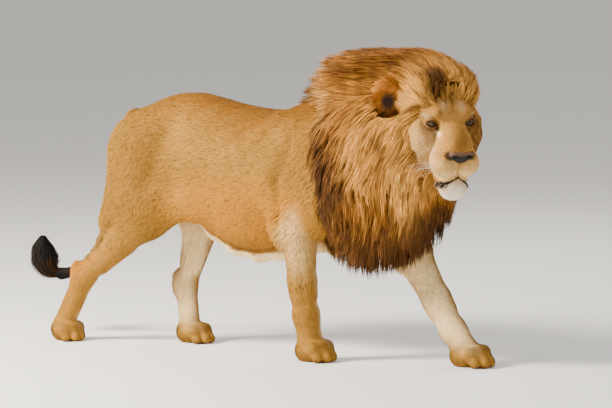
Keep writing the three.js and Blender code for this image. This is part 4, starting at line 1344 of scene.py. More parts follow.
class Ground:
    """The skin as ground for hair: its triangles with their normals and unwrap."""

    def __init__(self, skin: bpy.types.Object) -> None:
        """Read the skin's triangles.

        Args:
            skin: the finished skin.
        """
        mesh = skin.data
        mesh.calc_loop_triangles()
        count = len(mesh.loop_triangles)
        corners, loops = np.empty(count * 3, int), np.empty(count * 3, int)
        mesh.loop_triangles.foreach_get("vertices", corners)
        mesh.loop_triangles.foreach_get("loops", loops)
        points, normals = np.empty(len(mesh.vertices) * 3), np.empty(len(mesh.vertices) * 3)
        mesh.vertices.foreach_get("co", points)
        mesh.vertices.foreach_get("normal", normals)
        uv = np.empty(len(mesh.loops) * 2)
        mesh.uv_layers[BAKE_MAP].uv.foreach_get("vector", uv)
        self.vertices = (points.reshape(-1, 3) - SHIFT) / MM
        self.points = self.vertices[corners].reshape(-1, 3, 3)
        self.normals = normals.reshape(-1, 3)[corners].reshape(-1, 3, 3)
        self.uv = uv.reshape(-1, 2)[loops].reshape(-1, 3, 2)
        edges = self.points[:, 1:] - self.points[:, :1]
        self.areas = np.linalg.norm(np.cross(edges[:, 0], edges[:, 1]), axis=1) / 2.0
        self.tree = KDTree(count)
        for i, middle in enumerate(self.points.mean(axis=1)):
            self.tree.insert(middle, i)
        self.tree.balance()

    def scatter(self, density: Callable[[Array], Array], seed: int) -> Roots:
        """Roots strewn at random, as many to the square millimetre as the density says.

        Args:
            density: hairs for each square millimetre at each point.
            seed: seed of the draw.
        """
        draw = np.random.default_rng(seed)
        expected = self.areas * density(self.points.mean(axis=1))
        chosen = np.repeat(np.arange(len(expected)), draw.poisson(expected))
        shares = draw.dirichlet((1.0, 1.0, 1.0), len(chosen))[..., None]
        spots = [(values[chosen] * shares).sum(axis=1) for values in (self.points, self.normals, self.uv)]
        return Roots(spots[0], unit(spots[1]), spots[2])

    def unwrap_near(self, points: Array) -> Array:
        """Place on the unwrap of the skin triangle nearest to each point."""
        nearest = [self.tree.find(point)[1] for point in points]
        return self.uv[nearest].mean(axis=1)


PATCH = 0.003  # size of a hair's patch on the unwrap


def ribbons(
    paths: Array, outward: Array, widths: Array, colours: Array, uv: Array, roundness: float = 0.35
) -> Sheet:
    """Tapering ribbons along paths, each ending in one point.

    The two edges of a ribbon are path -+ across width / 2, with across the unit of tangent x outward; the
    shading normals lean from outward to each side, so that a flat ribbon reads as round.

    Args:
        paths: centre lines, hairs by steps by 3.
        outward: way that each step faces, the same shape.
        widths: width at each step, hairs by steps; the last one isn't used.
        colours: colour at each step, hairs by steps by 3.
        uv: place of each root on the unwrap.
        roundness: how far the normals lean.
    """
    count, steps, _ = paths.shape
    tangent = unit(np.gradient(paths, axis=1))
    across = unit(np.cross(tangent, outward))
    half = across[:, :-1] * widths[:, :-1, None] / 2.0
    edges = np.stack([paths[:, :-1] - half, paths[:, :-1] + half], axis=2)
    points = np.concatenate([edges.reshape(count, -1, 3), paths[:, -1:]], axis=1)
    facing = unit(outward - tangent * dot(tangent, outward)[..., None] * 0.6)
    rounded = across[:, :-1] * roundness
    lean = np.stack([facing[:, :-1] - rounded, facing[:, :-1] + rounded], axis=2)
    normals = np.concatenate([lean.reshape(count, -1, 3), facing[:, -1:]], axis=1)
    shades = np.concatenate([np.repeat(colours[:, :-1], 2, axis=1), colours[:, -1:]], axis=1)
    along = np.linspace(-0.5, 0.5, steps)
    ups = np.concatenate([np.repeat(along[:-1], 2), along[-1:]])
    sides = np.concatenate([np.tile((-0.5, 0.5), steps - 1), (0.0,)])
    patch = np.column_stack([sides, ups]) * PATCH
    each = 2 * (steps - 1) + 1
    rung = np.arange(steps - 2)[:, None] * 2
    inner = np.concatenate([rung + (0, 1, 3), rung + (0, 3, 2)])
    faces = np.concatenate([inner, [(each - 3, each - 2, each - 1)]])
    faces = (faces[None] + np.arange(count)[:, None, None] * each).reshape(-1, 3)
    spread = np.clip(uv[:, None] + patch, 0.0, 1.0).reshape(-1, 2)
    return Sheet(points.reshape(-1, 3), faces, unit(normals.reshape(-1, 3)), shades.reshape(-1, 3), spread)


@dataclass(frozen=True)
class ShortCoat:
    """Flat fur of the body: tapering tufts that lie back over each other, smallest on face and feet."""

    cover: float = 2.25  # layers of tufts over each other
    slenderness: float = 0.15  # width of a tuft in its length
    lift_share: float = 0.9  # how much of the coat's depth the tips reach
    mane_depth: float = 45.0  # no tufts where the mane lies deeper than this over the skin
    ground_gap: float = 1.0  # no hair reaches lower than this over the floor

    def growth(self, points: Array) -> Array:
        """How many times longer than usual: by the mane, on the chin, behind the elbow and on the belly."""
        head = HEAD.from_body(points)
        hairline = ramp(-MANE.at(points), -30.0, 20.0)
        chin = spot(head, (55, 0, -250), (70, 62, 46), 0.4)
        jaw = spot(head, (0, 0, -225), (70, 100, 45), 0.5)
        elbow = spot(points * (1, 0, 1), (10, 0, 520), (34, 10, 60), 0.5)
        fold = spot(points * (1, 0, 1), (-170, 0, 385), (240, 10, 40), 0.4)
        ears = sum(spot(head, EAR.centre(side), (60, 70, 80), 0.4) for side in Side)
        longer = np.maximum(1.9 * hairline, np.maximum(1.9 * chin, 1.6 * jaw))
        return 1.0 + np.maximum(longer, np.maximum(1.3 * elbow, np.maximum(0.3 * fold, 0.9 * ears)))

    def length(self, points: Array) -> Array:
        """Length of the tufts: 3.2 times the coat's depth and 2 mm, times the growth."""
        return (3.2 * coat_depth(points) + 2.0) * self.growth(points)

    def density(self, points: Array) -> Array:
        """Tufts per square millimetre: cover / (length width / 2), none on the soles or under the mane."""
        usual = 3.2 * coat_depth(points) + 2.0
        wanted = self.cover / (usual * usual * self.slenderness / 2.0)
        bare = (points[:, 2] < 6.0) | (MANE.at(points) < -self.mane_depth)
        return np.where(bare, 0.0, wanted * (1.0 - self.on_lips_or_lids(points)))

    def on_lips_or_lids(self, points: Array) -> Array:
        """Mask of the bare skin of the lips, the lids' edges and the nose."""
        head = HEAD.from_body(points)
        lips = (1.0 - ramp(np.abs(head[:, 2] - mouth_height(head[:, 1])), 5.5, 8.0)) * on_lips(head)
        even = head * (1, 0, 1) + np.abs(head) * (0, 1, 0)
        reach = np.linalg.norm(even - (EYE.ahead, EYE.aside, 0.0), axis=1)
        lids = (1.0 - ramp(reach, 25.0, 28.0)) * MARKINGS.near_lids(head)
        nose = spot(head, (122, 0, -100), (26, 52, 30), 0.1)
        return np.maximum(lips, np.maximum(lids, nose))

    def lie(self, points: Array) -> Array:
        """Way the hair lies: back along the body, down along each leg, on to the toes, back from the nose."""
        x, y, z = points.T
        head = HEAD.from_body(points)
        way = np.broadcast_to((-1.0, 0.0, -0.22), points.shape)
        haunch = spot(points, (-700, 0, 620), (150, 400, 260))
        way = mix(way, (-0.55, 0.0, -0.8), haunch)
        shoulder = spot(points, (120, 0, 650), (130, 400, 260))
        way = mix(way, (-0.5, 0.0, -0.9), shoulder * 0.8)
        for line, mine, _ in own_leg(points):
            way = mix(way, line.down(z), (1.0 - ramp(z, 430.0, 620.0)) * mine)
        fold = (1.0 - ramp(z, 440.0, 500.0)) * ramp(x, -460.0, -400.0) * (1.0 - ramp(x, 40.0, 90.0))
        way = mix(way, (-0.9, 0.0, -0.5), fold * (np.abs(y) < 90.0))
        way = mix(way, (1.0, 0.0, -0.35), 1.0 - ramp(z, 45.0, 95.0))
        behind = (x < -850.0) & (y > TAIL_SIDE)
        shares = np.linspace(0.0, 0.8, 60)
        line, _ = TAIL.at(shares)
        if behind.any():
            nearest = np.linalg.norm(points[behind, None] - line, axis=2).argmin(axis=1)
            way[behind] = unit(np.gradient(line, axis=0))[nearest]
        on_head = ramp(head[:, 0], -230.0, -150.0) * ramp(z, 560.0, 640.0) * ramp(x, 480.0, 540.0)
        aside = np.sign(head[:, 1]) * ramp(np.abs(head[:, 1]), 5.0, 60.0)
        upward = -0.35 + 0.75 * ramp(head[:, 2], -60.0, 30.0)
        swept = np.column_stack([-np.ones(len(points)), 0.45 * aside, upward])
        jaw = 1.0 - ramp(head[:, 2], -215.0, -150.0)
        swept = mix(swept, (-0.35, 0.0, -1.0), jaw)
        return mix(way, HEAD.along(swept), on_head)

    def grow(self, roots: Roots, seed: int) -> Sheet:
        """Tufts of three steps: root in the skin, middle risen, tip laid down at the coat's depth."""
        draw = np.random.default_rng(seed)
        count = len(roots.points)
        way = self.lie(roots.points) + draw.normal(0.0, 0.1, (count, 3))
        along = unit(way - roots.normals * dot(way, roots.normals)[:, None])
        size = draw.uniform(0.75, 1.25, count)
        growth = self.growth(roots.points)
        length = self.length(roots.points) * size
        rise = coat_depth(roots.points) * self.lift_share * draw.uniform(0.7, 1.1, count)
        rise = rise * (0.25 + 0.75 * growth)
        steps = np.array((0.0, 0.5, 1.0))
        heights = np.array((-0.15, 0.62, 0.85))
        paths = (
            roots.points[:, None]
            + along[:, None] * (length[:, None] * steps)[..., None]
            + roots.normals[:, None] * (rise[:, None] * heights)[..., None]
        )
        droop = 0.12 * np.maximum(growth - 1.0, 0.0)[:, None] * length[:, None] * steps**2
        paths[..., 2] -= droop / growth[:, None]
        paths[..., 2] = np.maximum(paths[..., 2], self.ground_gap)
        widths = (length * self.slenderness / growth**0.6)[:, None] * np.array((0.8, 1.0, 0.0))
        # a random tone per tuft, times darker roots and lighter tips: painted shade and light through the
        # coat's depth
        shade = draw.normal(1.0, 0.12, count)[:, None, None] * np.array((0.82, 1.0, 1.1))[None, :, None]
        colours = np.clip(MARKINGS.at(roots.points)[:, None] * shade, 0.0, 1.0)
        outward = np.repeat(roots.normals[:, None], 3, axis=1)
        return ribbons(paths, outward, widths, colours, roots.uv, 0.2)

    def build(self, ground: Ground) -> None:
        """The coat in pieces, each for one stretch of the body."""
        roots = ground.scatter(self.density, 21)
        x, y, z = roots.points.T
        head = HEAD.from_body(roots.points)[:, 0] > -110.0
        front = x > 250.0
        legs = z < 470.0
        stretches = {
            "fur_face": front & ~legs & head,
            "fur_neck": front & ~legs & ~head,
            "fur_trunk_right": ~front & ~legs & (y < 0.0),
            "fur_trunk_left": ~front & ~legs & (y >= 0.0),
            "fur_front_legs": legs & (x > LEG_GAP),
            "fur_hind_legs_and_tail": legs & (x <= LEG_GAP),
        }
        for seed, (name, keep) in enumerate(stretches.items()):
            self.grow(roots.where(keep), 100 + seed).piece(name, TUFTS, "coat")


# ---------------------------------------------------------------- the mane
MANE_GOLD = Patch((390, 0, 800), (80, 460, 170), GOLD, 1.0, 0.4)
MANE_PATCHES = (
    Patch((560, -20, 700), (70, 420, 150), GOLD * (1.1, 1.15, 1.3), 0.75, 0.4),  # throat
    Patch((110, 0, 950), (110, 420, 110), GOLD * (0.85, 0.95, 1.3), 0.7),  # behind the neck
    Patch((400, 0, 1190), (200, 400, 75), MANE_BROWN, 0.75),  # ridge of the crown
)


@dataclass(frozen=True)
class Mane:
    """Long hair in locks: each lock's tip lies on the mane's outer form and its root on the skin."""

    locks: int = 3600
    strands: int = 14  # to a lock
    steps: int = 8
    length: tuple[float, float] = (0.75, 1.25)  # times the usual length
    longest: float = 215.0
    shortest: float = 24.0
    spread: float = 15.0
    width: float = 2.5
    fringe: float = 42.0  # how much longer the locks over the brow are
    sink: float = 44.0  # how deep a lock's root end lies under the outer form
    thin: tuple[float, float] = (55.0, 105.0)  # mane depths from which hair leaves the skin for the form
    strays: float = 0.16  # share of the strands that keep apart from their lock
    face: Triple = (36.0, 0.0, -38.0)  # centre and radii of the ellipsoid that the face fills
    face_radii: Triple = (172.0, 142.0, 220.0)
    face_size: float = 145.0  # millimetres to one radius of it
    lowest: Triple = (-80.0, -330.0, 270.0)  # box round the mane's outer form
    highest: Triple = (900.0, 330.0, 1260.0)
    cell: float = 14.0  # of the net that the tips are strewn over
    crown_level: float = 1010.0  # heights and places that the pieces part at
    apron_level: float = 560.0
    parting: float = -20.0
    front: float = 380.0

    def flow(self, points: Array) -> Array:
        """Way the hair grows: out and back round the face, back and down the neck, down the chest."""
        x, y, z = points.T
        head = HEAD.from_body(points)
        radial = unit(head * (0.0, 1.0, 1.0) + (0.0, 0.0, 25.0))
        crown = ramp(head[:, 2], 0.0, 120.0)
        round_face = HEAD.along(radial * 0.75 + (-0.8, 0.0, 0.0)) + np.outer(1.0 - crown, (0.1, 0.0, -1.25))
        aside = np.sign(y) * ramp(np.abs(y), 10.0, 120.0)
        neck = np.column_stack([np.full(len(x), -0.38), 0.25 * aside, np.full(len(x), -0.95)])
        ridge = ramp(z, 900.0, 1060.0)
        neck = mix(neck, np.column_stack([np.full(len(x), -1.0), 0.45 * aside, np.full(len(x), 0.05)]), ridge)
        chest = np.column_stack([np.full(len(x), -0.02), 0.1 * aside, np.full(len(x), -1.0)])
        way = mix(neck, chest, 1.0 - ramp(z, 600.0, 860.0))
        near = 1.0 - ramp(np.linalg.norm(head * (0.8, 1.0, 1.0), axis=1), 190.0, 330.0)
        way = mix(unit(way), unit(round_face), near)
        wander = np.stack([ripple(points, 150.0, seed) for seed in (31, 32, 33)], axis=1)
        return unit(way + 0.17 * wander)

    def colour(self, points: Array) -> Array:
        """Gold round the face and down the neck, brown between, umber at the rear edge, nape and tips, and
        painted shade beside the face on the far side.
        """
        x, _, z = points.T
        head = HEAD.from_body(points)
        wander, fine = ripple(points, 110.0, 41), ripple(points, 45.0, 42)
        colour = mix(np.broadcast_to(MANE_TAN, points.shape), MANE_BROWN, ramp(wander + fine, -0.2, 1.6))
        ring = 1.0 - ramp(np.linalg.norm(head + (40.0, 0.0, 20.0), axis=1) + 30.0 * wander, 180.0, 300.0)
        colour = mix(colour, GOLD, ring * (0.3 + 0.6 * ramp(z, 600.0, 760.0)))
        colour = laid(MANE_PATCHES, MANE_GOLD.over(colour, points, 0.75 + 0.3 * fine), points)
        rear = spot(points + np.outer(30.0 * wander, (1.0, 0.0, 0.0)), (215, 0, 640), (125, 460, 300))
        low = 1.0 - ramp(z + 45.0 * wander, 450.0, 640.0)
        breast = spot(points, (640, 0, 500), (110, 300, 130))
        colour = mix(colour, UMBER, 0.95 * np.maximum(rear, np.maximum(low * 0.92, breast)))
        colour = mix(colour, SOOT * 1.8, (1.0 - ramp(z + 30.0 * wander, 330.0, 430.0)) * 0.6)
        nape = (1.0 - ramp(x + 20.0 * wander, 40.0, 140.0)) * ramp(z, 950.0, 1000.0)
        crown = spot(head, (-35, -52, 158), (62, 42, 78))
        # painted shade on the far side of the mane beside the face, turned away from the light
        far_edge_shade = spot(head, (0, 165, -60), (120, 45, 170))
        return mix(colour, UMBER * 1.2, np.maximum(nape * 0.9, np.maximum(crown * 0.92, far_edge_shade * 0.6)))

    def tips(self, seed: int) -> Array:
        """Points strewn evenly over the mane's outer form, outside the skin and clear of the ears' cups."""
        ends = zip(self.lowest, self.highest)
        points, quads = MANE.surface([np.arange(low, high, self.cell) for low, high in ends])
        corners = points[quads]
        middles = corners.mean(axis=1)
        areas = np.linalg.norm(np.cross(corners[:, 2] - corners[:, 0], corners[:, 3] - corners[:, 1]), axis=1)
        areas *= SKIN.at(middles) > 3.0
        head = HEAD.from_body(middles)
        for side in Side:
            cup = EAR.centre(side) + (52.0, side.value * 18.0, 0.0)
            areas *= 1.0 - spot(head, cup, (58, 62, 62), 0.2)
        draw = np.random.default_rng(seed)
        chosen = draw.choice(len(quads), self.locks, p=areas / areas.sum())
        shares = draw.dirichlet((1.0, 1.0, 1.0, 1.0), self.locks)[..., None]
        return (corners[chosen] * shares).sum(axis=1)

    def past_face(self, points: Array) -> Array:
        """How far points lie outside the ellipsoid that the face fills, in about millimetres."""
        size = np.linalg.norm((HEAD.from_body(points) - self.face) / self.face_radii, axis=1)
        return (size - 1.0) * self.face_size

    def guides(self, seed: int) -> Array:
        """Centre lines of the locks, root first.

        From its tip each one goes against the flow in equal steps. Where the mane is thin its height over
        the skin falls as H (1 - t^1.3); where it is deep it sinks under the outer form by sink t^1.3, or by
        a fifth of that beside the face. The locks over the brow are longer by the fringe.
        """
        draw = np.random.default_rng(seed + 1)
        spots = self.tips(seed)
        height = np.maximum(SKIN.at(spots), 3.0)
        fringe = self.fringe * ramp(HEAD.from_body(spots)[:, 2], 130.0, 170.0)
        usual = np.clip(self.shortest + 1.15 * self.past_face(spots) + fringe, self.shortest, self.longest)
        lengths = usual * draw.uniform(*self.length, self.locks)
        deep = ramp(height, *self.thin)[:, None]
        line = [spots]
        for i in range(1, self.steps):
            share = (i / (self.steps - 1)) ** 1.3
            spots = spots - self.flow(spots) * (lengths / (self.steps - 1))[:, None]
            over_skin = np.clip(SKIN.at(spots) - height * (1.0 - share), -40.0, 40.0)
            by_skin = spots - SKIN.outward(spots) * over_skin[:, None]
            depth = self.sink * (0.2 + 0.8 * ramp(self.past_face(spots), 20.0, 120.0))
            over_form = np.clip(MANE.at(spots) + 2.0 + depth * share, 0.0, 40.0)
            by_form = spots - MANE.outward(spots) * over_form[:, None]
            spots = by_skin + (by_form - by_skin) * deep
            under = np.minimum(SKIN.at(spots) - 1.0, 0.0)
            spots = spots - SKIN.outward(spots) * under[:, None]
            line.append(spots)
        lines = np.stack(line[::-1], axis=1)
        return lines[~self.over_ear(lines)]

    def over_ear(self, lines: Array) -> Array:
        """Whether any part of a line covers the cup of an ear."""
        head = HEAD.from_body(lines.reshape(-1, 3))
        covered = np.zeros(len(head), bool)
        for side in Side:
            cup = EAR.centre(side) + (44.0, side.value * 16.0, -14.0)
            covered |= spot(head, cup, (60, 58, 72), 0.02) > 0.5
        return covered.reshape(lines.shape[:2]).any(axis=1)

    def grow(self, ground: Ground, seed: int = 51) -> tuple[Sheet, Array]:
        """All strands of the mane, and the place of each one's middle.

        A strand runs beside its lock's centre line at a random place in the lock, spread (1 - g t^2)
        away, so that the strands of a lock come together at its tip; strays keep apart and reach further.
        """
        draw = np.random.default_rng(seed)
        guides = self.guides(seed)
        count = len(guides) * self.strands
        tangent = unit(np.gradient(guides, axis=1))
        flat = guides.reshape(-1, 3)
        outward = unit(MANE.slope(flat, 6.0)).reshape(guides.shape)
        outward = unit(outward - tangent * dot(outward, tangent)[..., None])
        across = np.cross(tangent, outward)
        roots = ground.unwrap_near(guides[:, 0])
        lock = np.repeat(np.arange(len(guides)), self.strands)
        t = np.linspace(0.0, 1.0, self.steps)
        reach = np.linalg.norm(guides[:, -1] - guides[:, 0], axis=1)[lock] / self.longest
        angle = draw.uniform(0.0, 2.0 * np.pi, count)
        away = np.sqrt(draw.uniform(0.0, 1.0, count)) * self.spread
        away = away * draw.uniform(0.7, 1.3, len(guides))[lock]
        stray = draw.uniform(0.0, 1.0, count) < self.strays
        close = draw.uniform(0.45, 0.8, len(guides))[lock]
        gather = 1.0 - np.where(stray, 0.0, close)[:, None] * t**2
        phase = draw.uniform(0.0, 2.0 * np.pi, (2, count, 1))
        loose = np.where(stray, 10.0, 3.5)[:, None] * np.minimum(reach, 1.0)[:, None]
        sideways = away[:, None] * np.cos(angle)[:, None] * gather + loose * np.sin(phase[0] + 4.0 * t) * t
        upright = away[:, None] * np.sin(angle)[:, None] * gather * 0.45
        upright = upright * np.minimum(0.3 + reach, 1.0)[:, None]
        upright = upright + loose * 0.8 * np.sin(phase[1] + 3.0 * t) * t
        end = draw.uniform(0.68, 1.0, count)
        lengthwise = (t[None] * end[:, None]) * (self.steps - 1)
        low = np.clip(lengthwise.astype(int), 0, self.steps - 2)
        part = (lengthwise - low)[..., None]
        rows = lock[:, None]
        along = guides[rows, low] * (1.0 - part) + guides[rows, low + 1] * part
        beside = across[rows, low] * sideways[..., None] + outward[rows, low] * upright[..., None]
        paths = along + beside
        roll = draw.normal(0.0, 0.55, count)[:, None, None]
        facing = unit(outward[rows, low] * np.cos(roll) + across[rows, low] * np.sin(roll))
        fine = self.width * draw.uniform(0.7, 1.3, count) * np.clip(0.45 + 0.6 * reach, 0.45, 1.0)
        widths = fine[:, None] * (0.8 + 0.4 * t - 0.7 * t**3)
        base = self.colour(guides.reshape(-1, 3)).reshape(guides.shape)[rows, low]
        shade = np.exp(draw.normal(0.0, 0.24, len(guides)))[lock] * draw.normal(1.0, 0.16, count)
        brown = np.clip(draw.normal(0.0, 0.4, len(guides)), 0.0, 0.8)[lock]
        base = base + (MANE_BROWN - base) * brown[:, None, None]
        # shade is each lock's and strand's random tone; the strands grow darker towards the root as painted
        # shade inside the mane
        colours = base * shade[:, None, None] * (0.6 + 0.5 * t)[None, :, None]
        jitter = draw.uniform(-PATCH, PATCH, (count, 2))
        clear = ~self.over_ear(paths)
        colours = np.clip(colours, 0.0, 1.0)
        parts = (part[clear] for part in (paths, facing, widths, colours, roots[lock] + jitter))
        return ribbons(*parts, 0.5), paths[clear, self.steps // 2]

    def build(self, ground: Ground) -> None:
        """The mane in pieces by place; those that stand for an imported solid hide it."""
        sheet, middles = self.grow(ground)
        x, y, z = middles.T
        crown = z > self.crown_level
        apron = z < self.apron_level
        right = ~crown & ~apron & (y < self.parting)
        left = ~crown & ~apron & (y >= self.parting)
        ahead = x > self.front
        pieces = {
            "mane_hair_crown": (crown & ahead, "mane", ("mane_crown",)),
            "mane_hair_nape": (crown & ~ahead, "mane", ()),
            "mane_hair_right_front": (right & ahead, "mane", ("mane_right",)),
            "mane_hair_right_rear": (right & ~ahead, "mane", ()),
            "mane_hair_left_front": (left & ahead, "mane", ("mane_left",)),
            "mane_hair_left_rear": (left & ~ahead, "mane", ()),
            "mane_hair_chest": (apron, "dark_mane", ("mane_chest",)),
        }
        each = 2 * (self.steps - 1) + 1
        for name, (keep, slot, nodes) in pieces.items():
            strand_points(sheet, keep, each).piece(name, MANE_HAIR, slot, nodes)


def strand_points(sheet: Sheet, keep: Array, each: int) -> Sheet:
    """The strands that a mask keeps, out of a sheet with the same number of points to each strand."""
    rows = (np.flatnonzero(keep)[:, None] * each + np.arange(each)).ravel()
    per_strand = sheet.faces.reshape(len(keep), -1, 3)[0]
    faces = (per_strand[None] + np.arange(keep.sum())[:, None, None] * each).reshape(-1, 3)
    return Sheet(sheet.points[rows], faces, sheet.normals[rows], sheet.colours[rows], sheet.uv[rows])


@dataclass(frozen=True)
class TailTuft:
    """Black hair at the tail's end: strands that leave the tail and close to one tip."""

    strands: int = 2200
    steps: int = 8
    width: float = 3.2

    def build(self, ground: Ground) -> None:
        """Strands along the tail's line, at radius r(share) times a random share, flesh to outer form."""
        draw = np.random.default_rng(61)
        start = draw.uniform(TAIL.tuft_start, 0.83, self.strands)
        end = np.minimum(start + draw.uniform(0.16, 0.34, self.strands), 1.0)
        t = np.linspace(0.0, 1.0, self.steps)
        shares = start[:, None] + (end - start)[:, None] * t
        centres, radii = (a.reshape(self.strands, self.steps, -1) for a in TAIL.at(shares.ravel()))
        tangent = unit(np.gradient(centres, axis=1))
        level = unit(np.cross(tangent, (0.0, 1.0, 0.0)))
        other = np.cross(tangent, level)
        angle = draw.uniform(0.0, 2.0 * np.pi, self.strands)[:, None, None] + 0.6 * t[None, :, None]
        outward = level * np.cos(angle) + other * np.sin(angle)
        flesh = np.minimum(radii[..., 0], 14.0)
        full = 1.3 * np.maximum(radii[..., 0], 20.0 * np.sqrt(1.0 - shares**16))
        full = full * np.sqrt(draw.uniform(0.15, 1.0, self.strands))[:, None]
        away = flesh + (np.maximum(full, flesh) - flesh) * np.minimum(t * 1.8, 1.0)
        paths = centres + outward * away[..., None]
        widths = np.repeat(self.width * (1.0 - 0.5 * t)[None], self.strands, axis=0)
        fade = ramp(start, TAIL.tuft_start, TAIL.tuft_start + 0.03)
        base = mix(np.broadcast_to(UMBER * 0.6, (self.strands, 3)), SOOT * 0.8, fade)
        colours = base[:, None] * draw.normal(1.0, 0.2, self.strands)[:, None, None]
        # strands darker towards the root: painted shade inside the tuft
        colours = colours * (0.8 + 0.5 * t)[None, :, None]
        uv = ground.unwrap_near(centres[:, 0])
        sheet = ribbons(paths, outward, widths, np.clip(colours, 0.0, 1.0), uv, 0.5)
        sheet.piece("tail_tuft_hair", TUFTS, "black_hair", ("tail_tuft",))


# ---------------------------------------------------------------- eyes and nose
@dataclass(frozen=True)
class Eyeball:
    """One dark amber eye: pupil, streaked iris, dark rim and a raised front."""

    side: Side
    rings: int = 60
    spokes: int = 72
    gaze: Triple = (0.93, 0.0, 0.08)  # in the head's frame
    pupil: float = 17.0  # angles from the gaze to the edges, in degrees
    iris: float = 37.0
    rim: float = 42.0
    inner: Triple = (0.11, 0.048, 0.010)  # iris by the pupil and by its rim, and the white beyond
    outer: Triple = (0.06, 0.024, 0.006)
    white: Triple = (0.05, 0.03, 0.02)

    def build(self) -> None:
        """Surface (theta, phi): centre + r (1 + 0.05 exp(-(theta / 30)^2)) direction(theta, phi)."""
        draw = np.random.default_rng(71 + self.side.value)
        ahead = unit(np.array(self.gaze))
        left = unit(np.cross((0.0, 0.0, 1.0), ahead))
        upward = np.cross(ahead, left)
        theta = 180.0 * np.linspace(0.0, 1.0, self.rings)[1:-1] ** 1.5
        phi = np.linspace(0.0, 2.0 * np.pi, self.spokes, endpoint=False)
        grid_theta, grid_phi = np.meshgrid(theta, phi, indexing="ij")
        sine = np.sin(np.radians(grid_theta))[..., None]
        way = ahead * np.cos(np.radians(grid_theta))[..., None]
        way = way + sine * (left * np.cos(grid_phi)[..., None] + upward * np.sin(grid_phi)[..., None])
        radius = (EYE.radius - 0.4) * (1.0 + 0.05 * np.exp(-((grid_theta / 30.0) ** 2)))
        points = (EYE.centre(self.side) + way * radius[..., None]).reshape(-1, 3)
        front = EYE.centre(self.side) + ahead * (EYE.radius - 0.4) * 1.05
        back = EYE.centre(self.side) - ahead * (EYE.radius - 0.4)
        streak = (1.0 + 0.16 * draw.normal(0.0, 1.0, self.spokes))[None, :, None]
        angle = grid_theta[..., None]
        inner, outer, white = (np.array(shade) for shade in (self.inner, self.outer, self.white))
        colour = (inner + (outer - inner) * ramp(angle, self.pupil, self.iris)) * streak
        colour = colour + (SOOT - colour) * (1.0 - ramp(angle, self.pupil - 1.0, self.pupil + 1.5))
        colour = colour + (SOOT - colour) * ramp(angle, self.iris - 3.0, self.iris + 1.0)
        colour = colour + (white - colour) * ramp(angle, self.rim, self.rim + 6.0)
        points = np.vstack([front, points, back])
        colours = np.vstack([SOOT, np.clip(colour, 0, 1).reshape(-1, 3), white])
        quads = triangles(lattice(len(theta), self.spokes, True)) + 1
        last = 1 + (len(theta) - 1) * self.spokes
        around = np.arange(self.spokes)
        after = (around + 1) % self.spokes
        caps = np.concatenate(
            [
                np.column_stack([np.zeros(self.spokes, int), after + 1, around + 1]),
                np.column_stack([np.full(self.spokes, len(points) - 1), around + last, after + last]),
            ]
        )
        faces = np.concatenate([quads[:, ::-1], caps])
        Sheet(HEAD.onto_body(points), faces, None, colours).piece(
            f"eyeball_{self.side.name.lower()}", EYEBALL, "eye", (f"eye_{self.side.name.lower()}",)
        )


@dataclass(frozen=True)
class Nose:
    """Leathery nose pad with its nostrils and the groove below."""

    cell: float = 1.7

    def form(self) -> Form:
        """Broad pad, narrow foot, two nostrils with their slits, and the groove down the middle."""
        shapes: list[Shape] = [
            head_ball((119, 0, -96), (20, 47, 21), 10),
            head_ball((119, 0, -108), (19, 30, 20), 12),
        ]
        for s in (-1, 1):
            shapes += [
                head_ball((123, s * 31, -98), (14, 17, 15), 8),
                head_ball((139, s * 24, -101), (11, 8, 6), 4, carve=True),
                head_cone((135, s * 29, -102), (122, s * 47, -93), (5, 3), 4, carve=True),
            ]
        shapes.append(head_cone((142, 0, -96), (135, 0, -126), (2.0, 2.5), 3, carve=True))
        return Form(shapes)

    def build(self) -> None:
        """Net over the pad, soot below and brown on top where the bridge's hair runs on to it."""
        form = self.form()
        middle = HEAD.onto_body((119, 0, -100))
        points, quads = form.surface([np.arange(c - 64.0, c + 64.0, self.cell) for c in middle])
        head = HEAD.from_body(points)
        leather = np.array((0.15, 0.070, 0.040))
        colours = mix(np.broadcast_to(SOOT * 1.2, points.shape), leather, ramp(head[:, 2], -104.0, -88.0))
        Sheet(points, triangles(quads), None, colours).piece("nose_pad", WET_LEATHER, "nose", ("nose",))


@dataclass(frozen=True)
class Whiskers:
    """Pale stiff hairs of both lips, in rows on the whisker pads, bowed back and down."""

    rows: tuple[float, ...] = (-132.0, -144.5, -157.0, -169.5)
    along: tuple[float, ...] = (52.0, 70.0, 88.0)
    length: tuple[float, float] = (55.0, 95.0)
    width: float = 0.6
    steps: int = 8

    def build(self) -> None:
        """Lines p + L (t way + 0.22 t^2 down), with p settled on the skin of the pad."""
        draw = np.random.default_rng(81)
        starts = np.array([(x, s * 96.0, z) for s in (-1, 1) for z in self.rows for x in self.along])
        starts = starts + draw.normal(0.0, 2.0, starts.shape)
        roots = SKIN.settled(HEAD.onto_body(starts), rounds=6)
        side = np.sign(starts[:, 1])
        way = np.column_stack([np.full(len(side), -0.45), side * 0.95, np.full(len(side), -0.15)])
        way = HEAD.along(unit(way + draw.normal(0.0, 0.12, way.shape)))
        length = draw.uniform(*self.length, len(side))[:, None, None]
        t = np.linspace(0.0, 1.0, self.steps)[None, :, None]
        paths = roots[:, None] + length * (way[:, None] * t + np.array((-0.10, 0.0, -0.22)) * t**2)
        outward = HEAD.along(np.column_stack([0 * side + 1.0, 0.3 * side, 0 * side + 0.3]))
        facing = np.repeat(outward[:, None], self.steps, 1)
        widths = np.repeat(self.width * (1.0 - 0.8 * t[..., 0]), len(side), axis=0)
        colours = np.broadcast_to(CHIN_WHITE, paths.shape)
        hairs = ribbons(paths, facing, widths, colours, np.full((len(side), 2), 0.5))
        hairs.piece("whiskers", WHISKER, "coat")


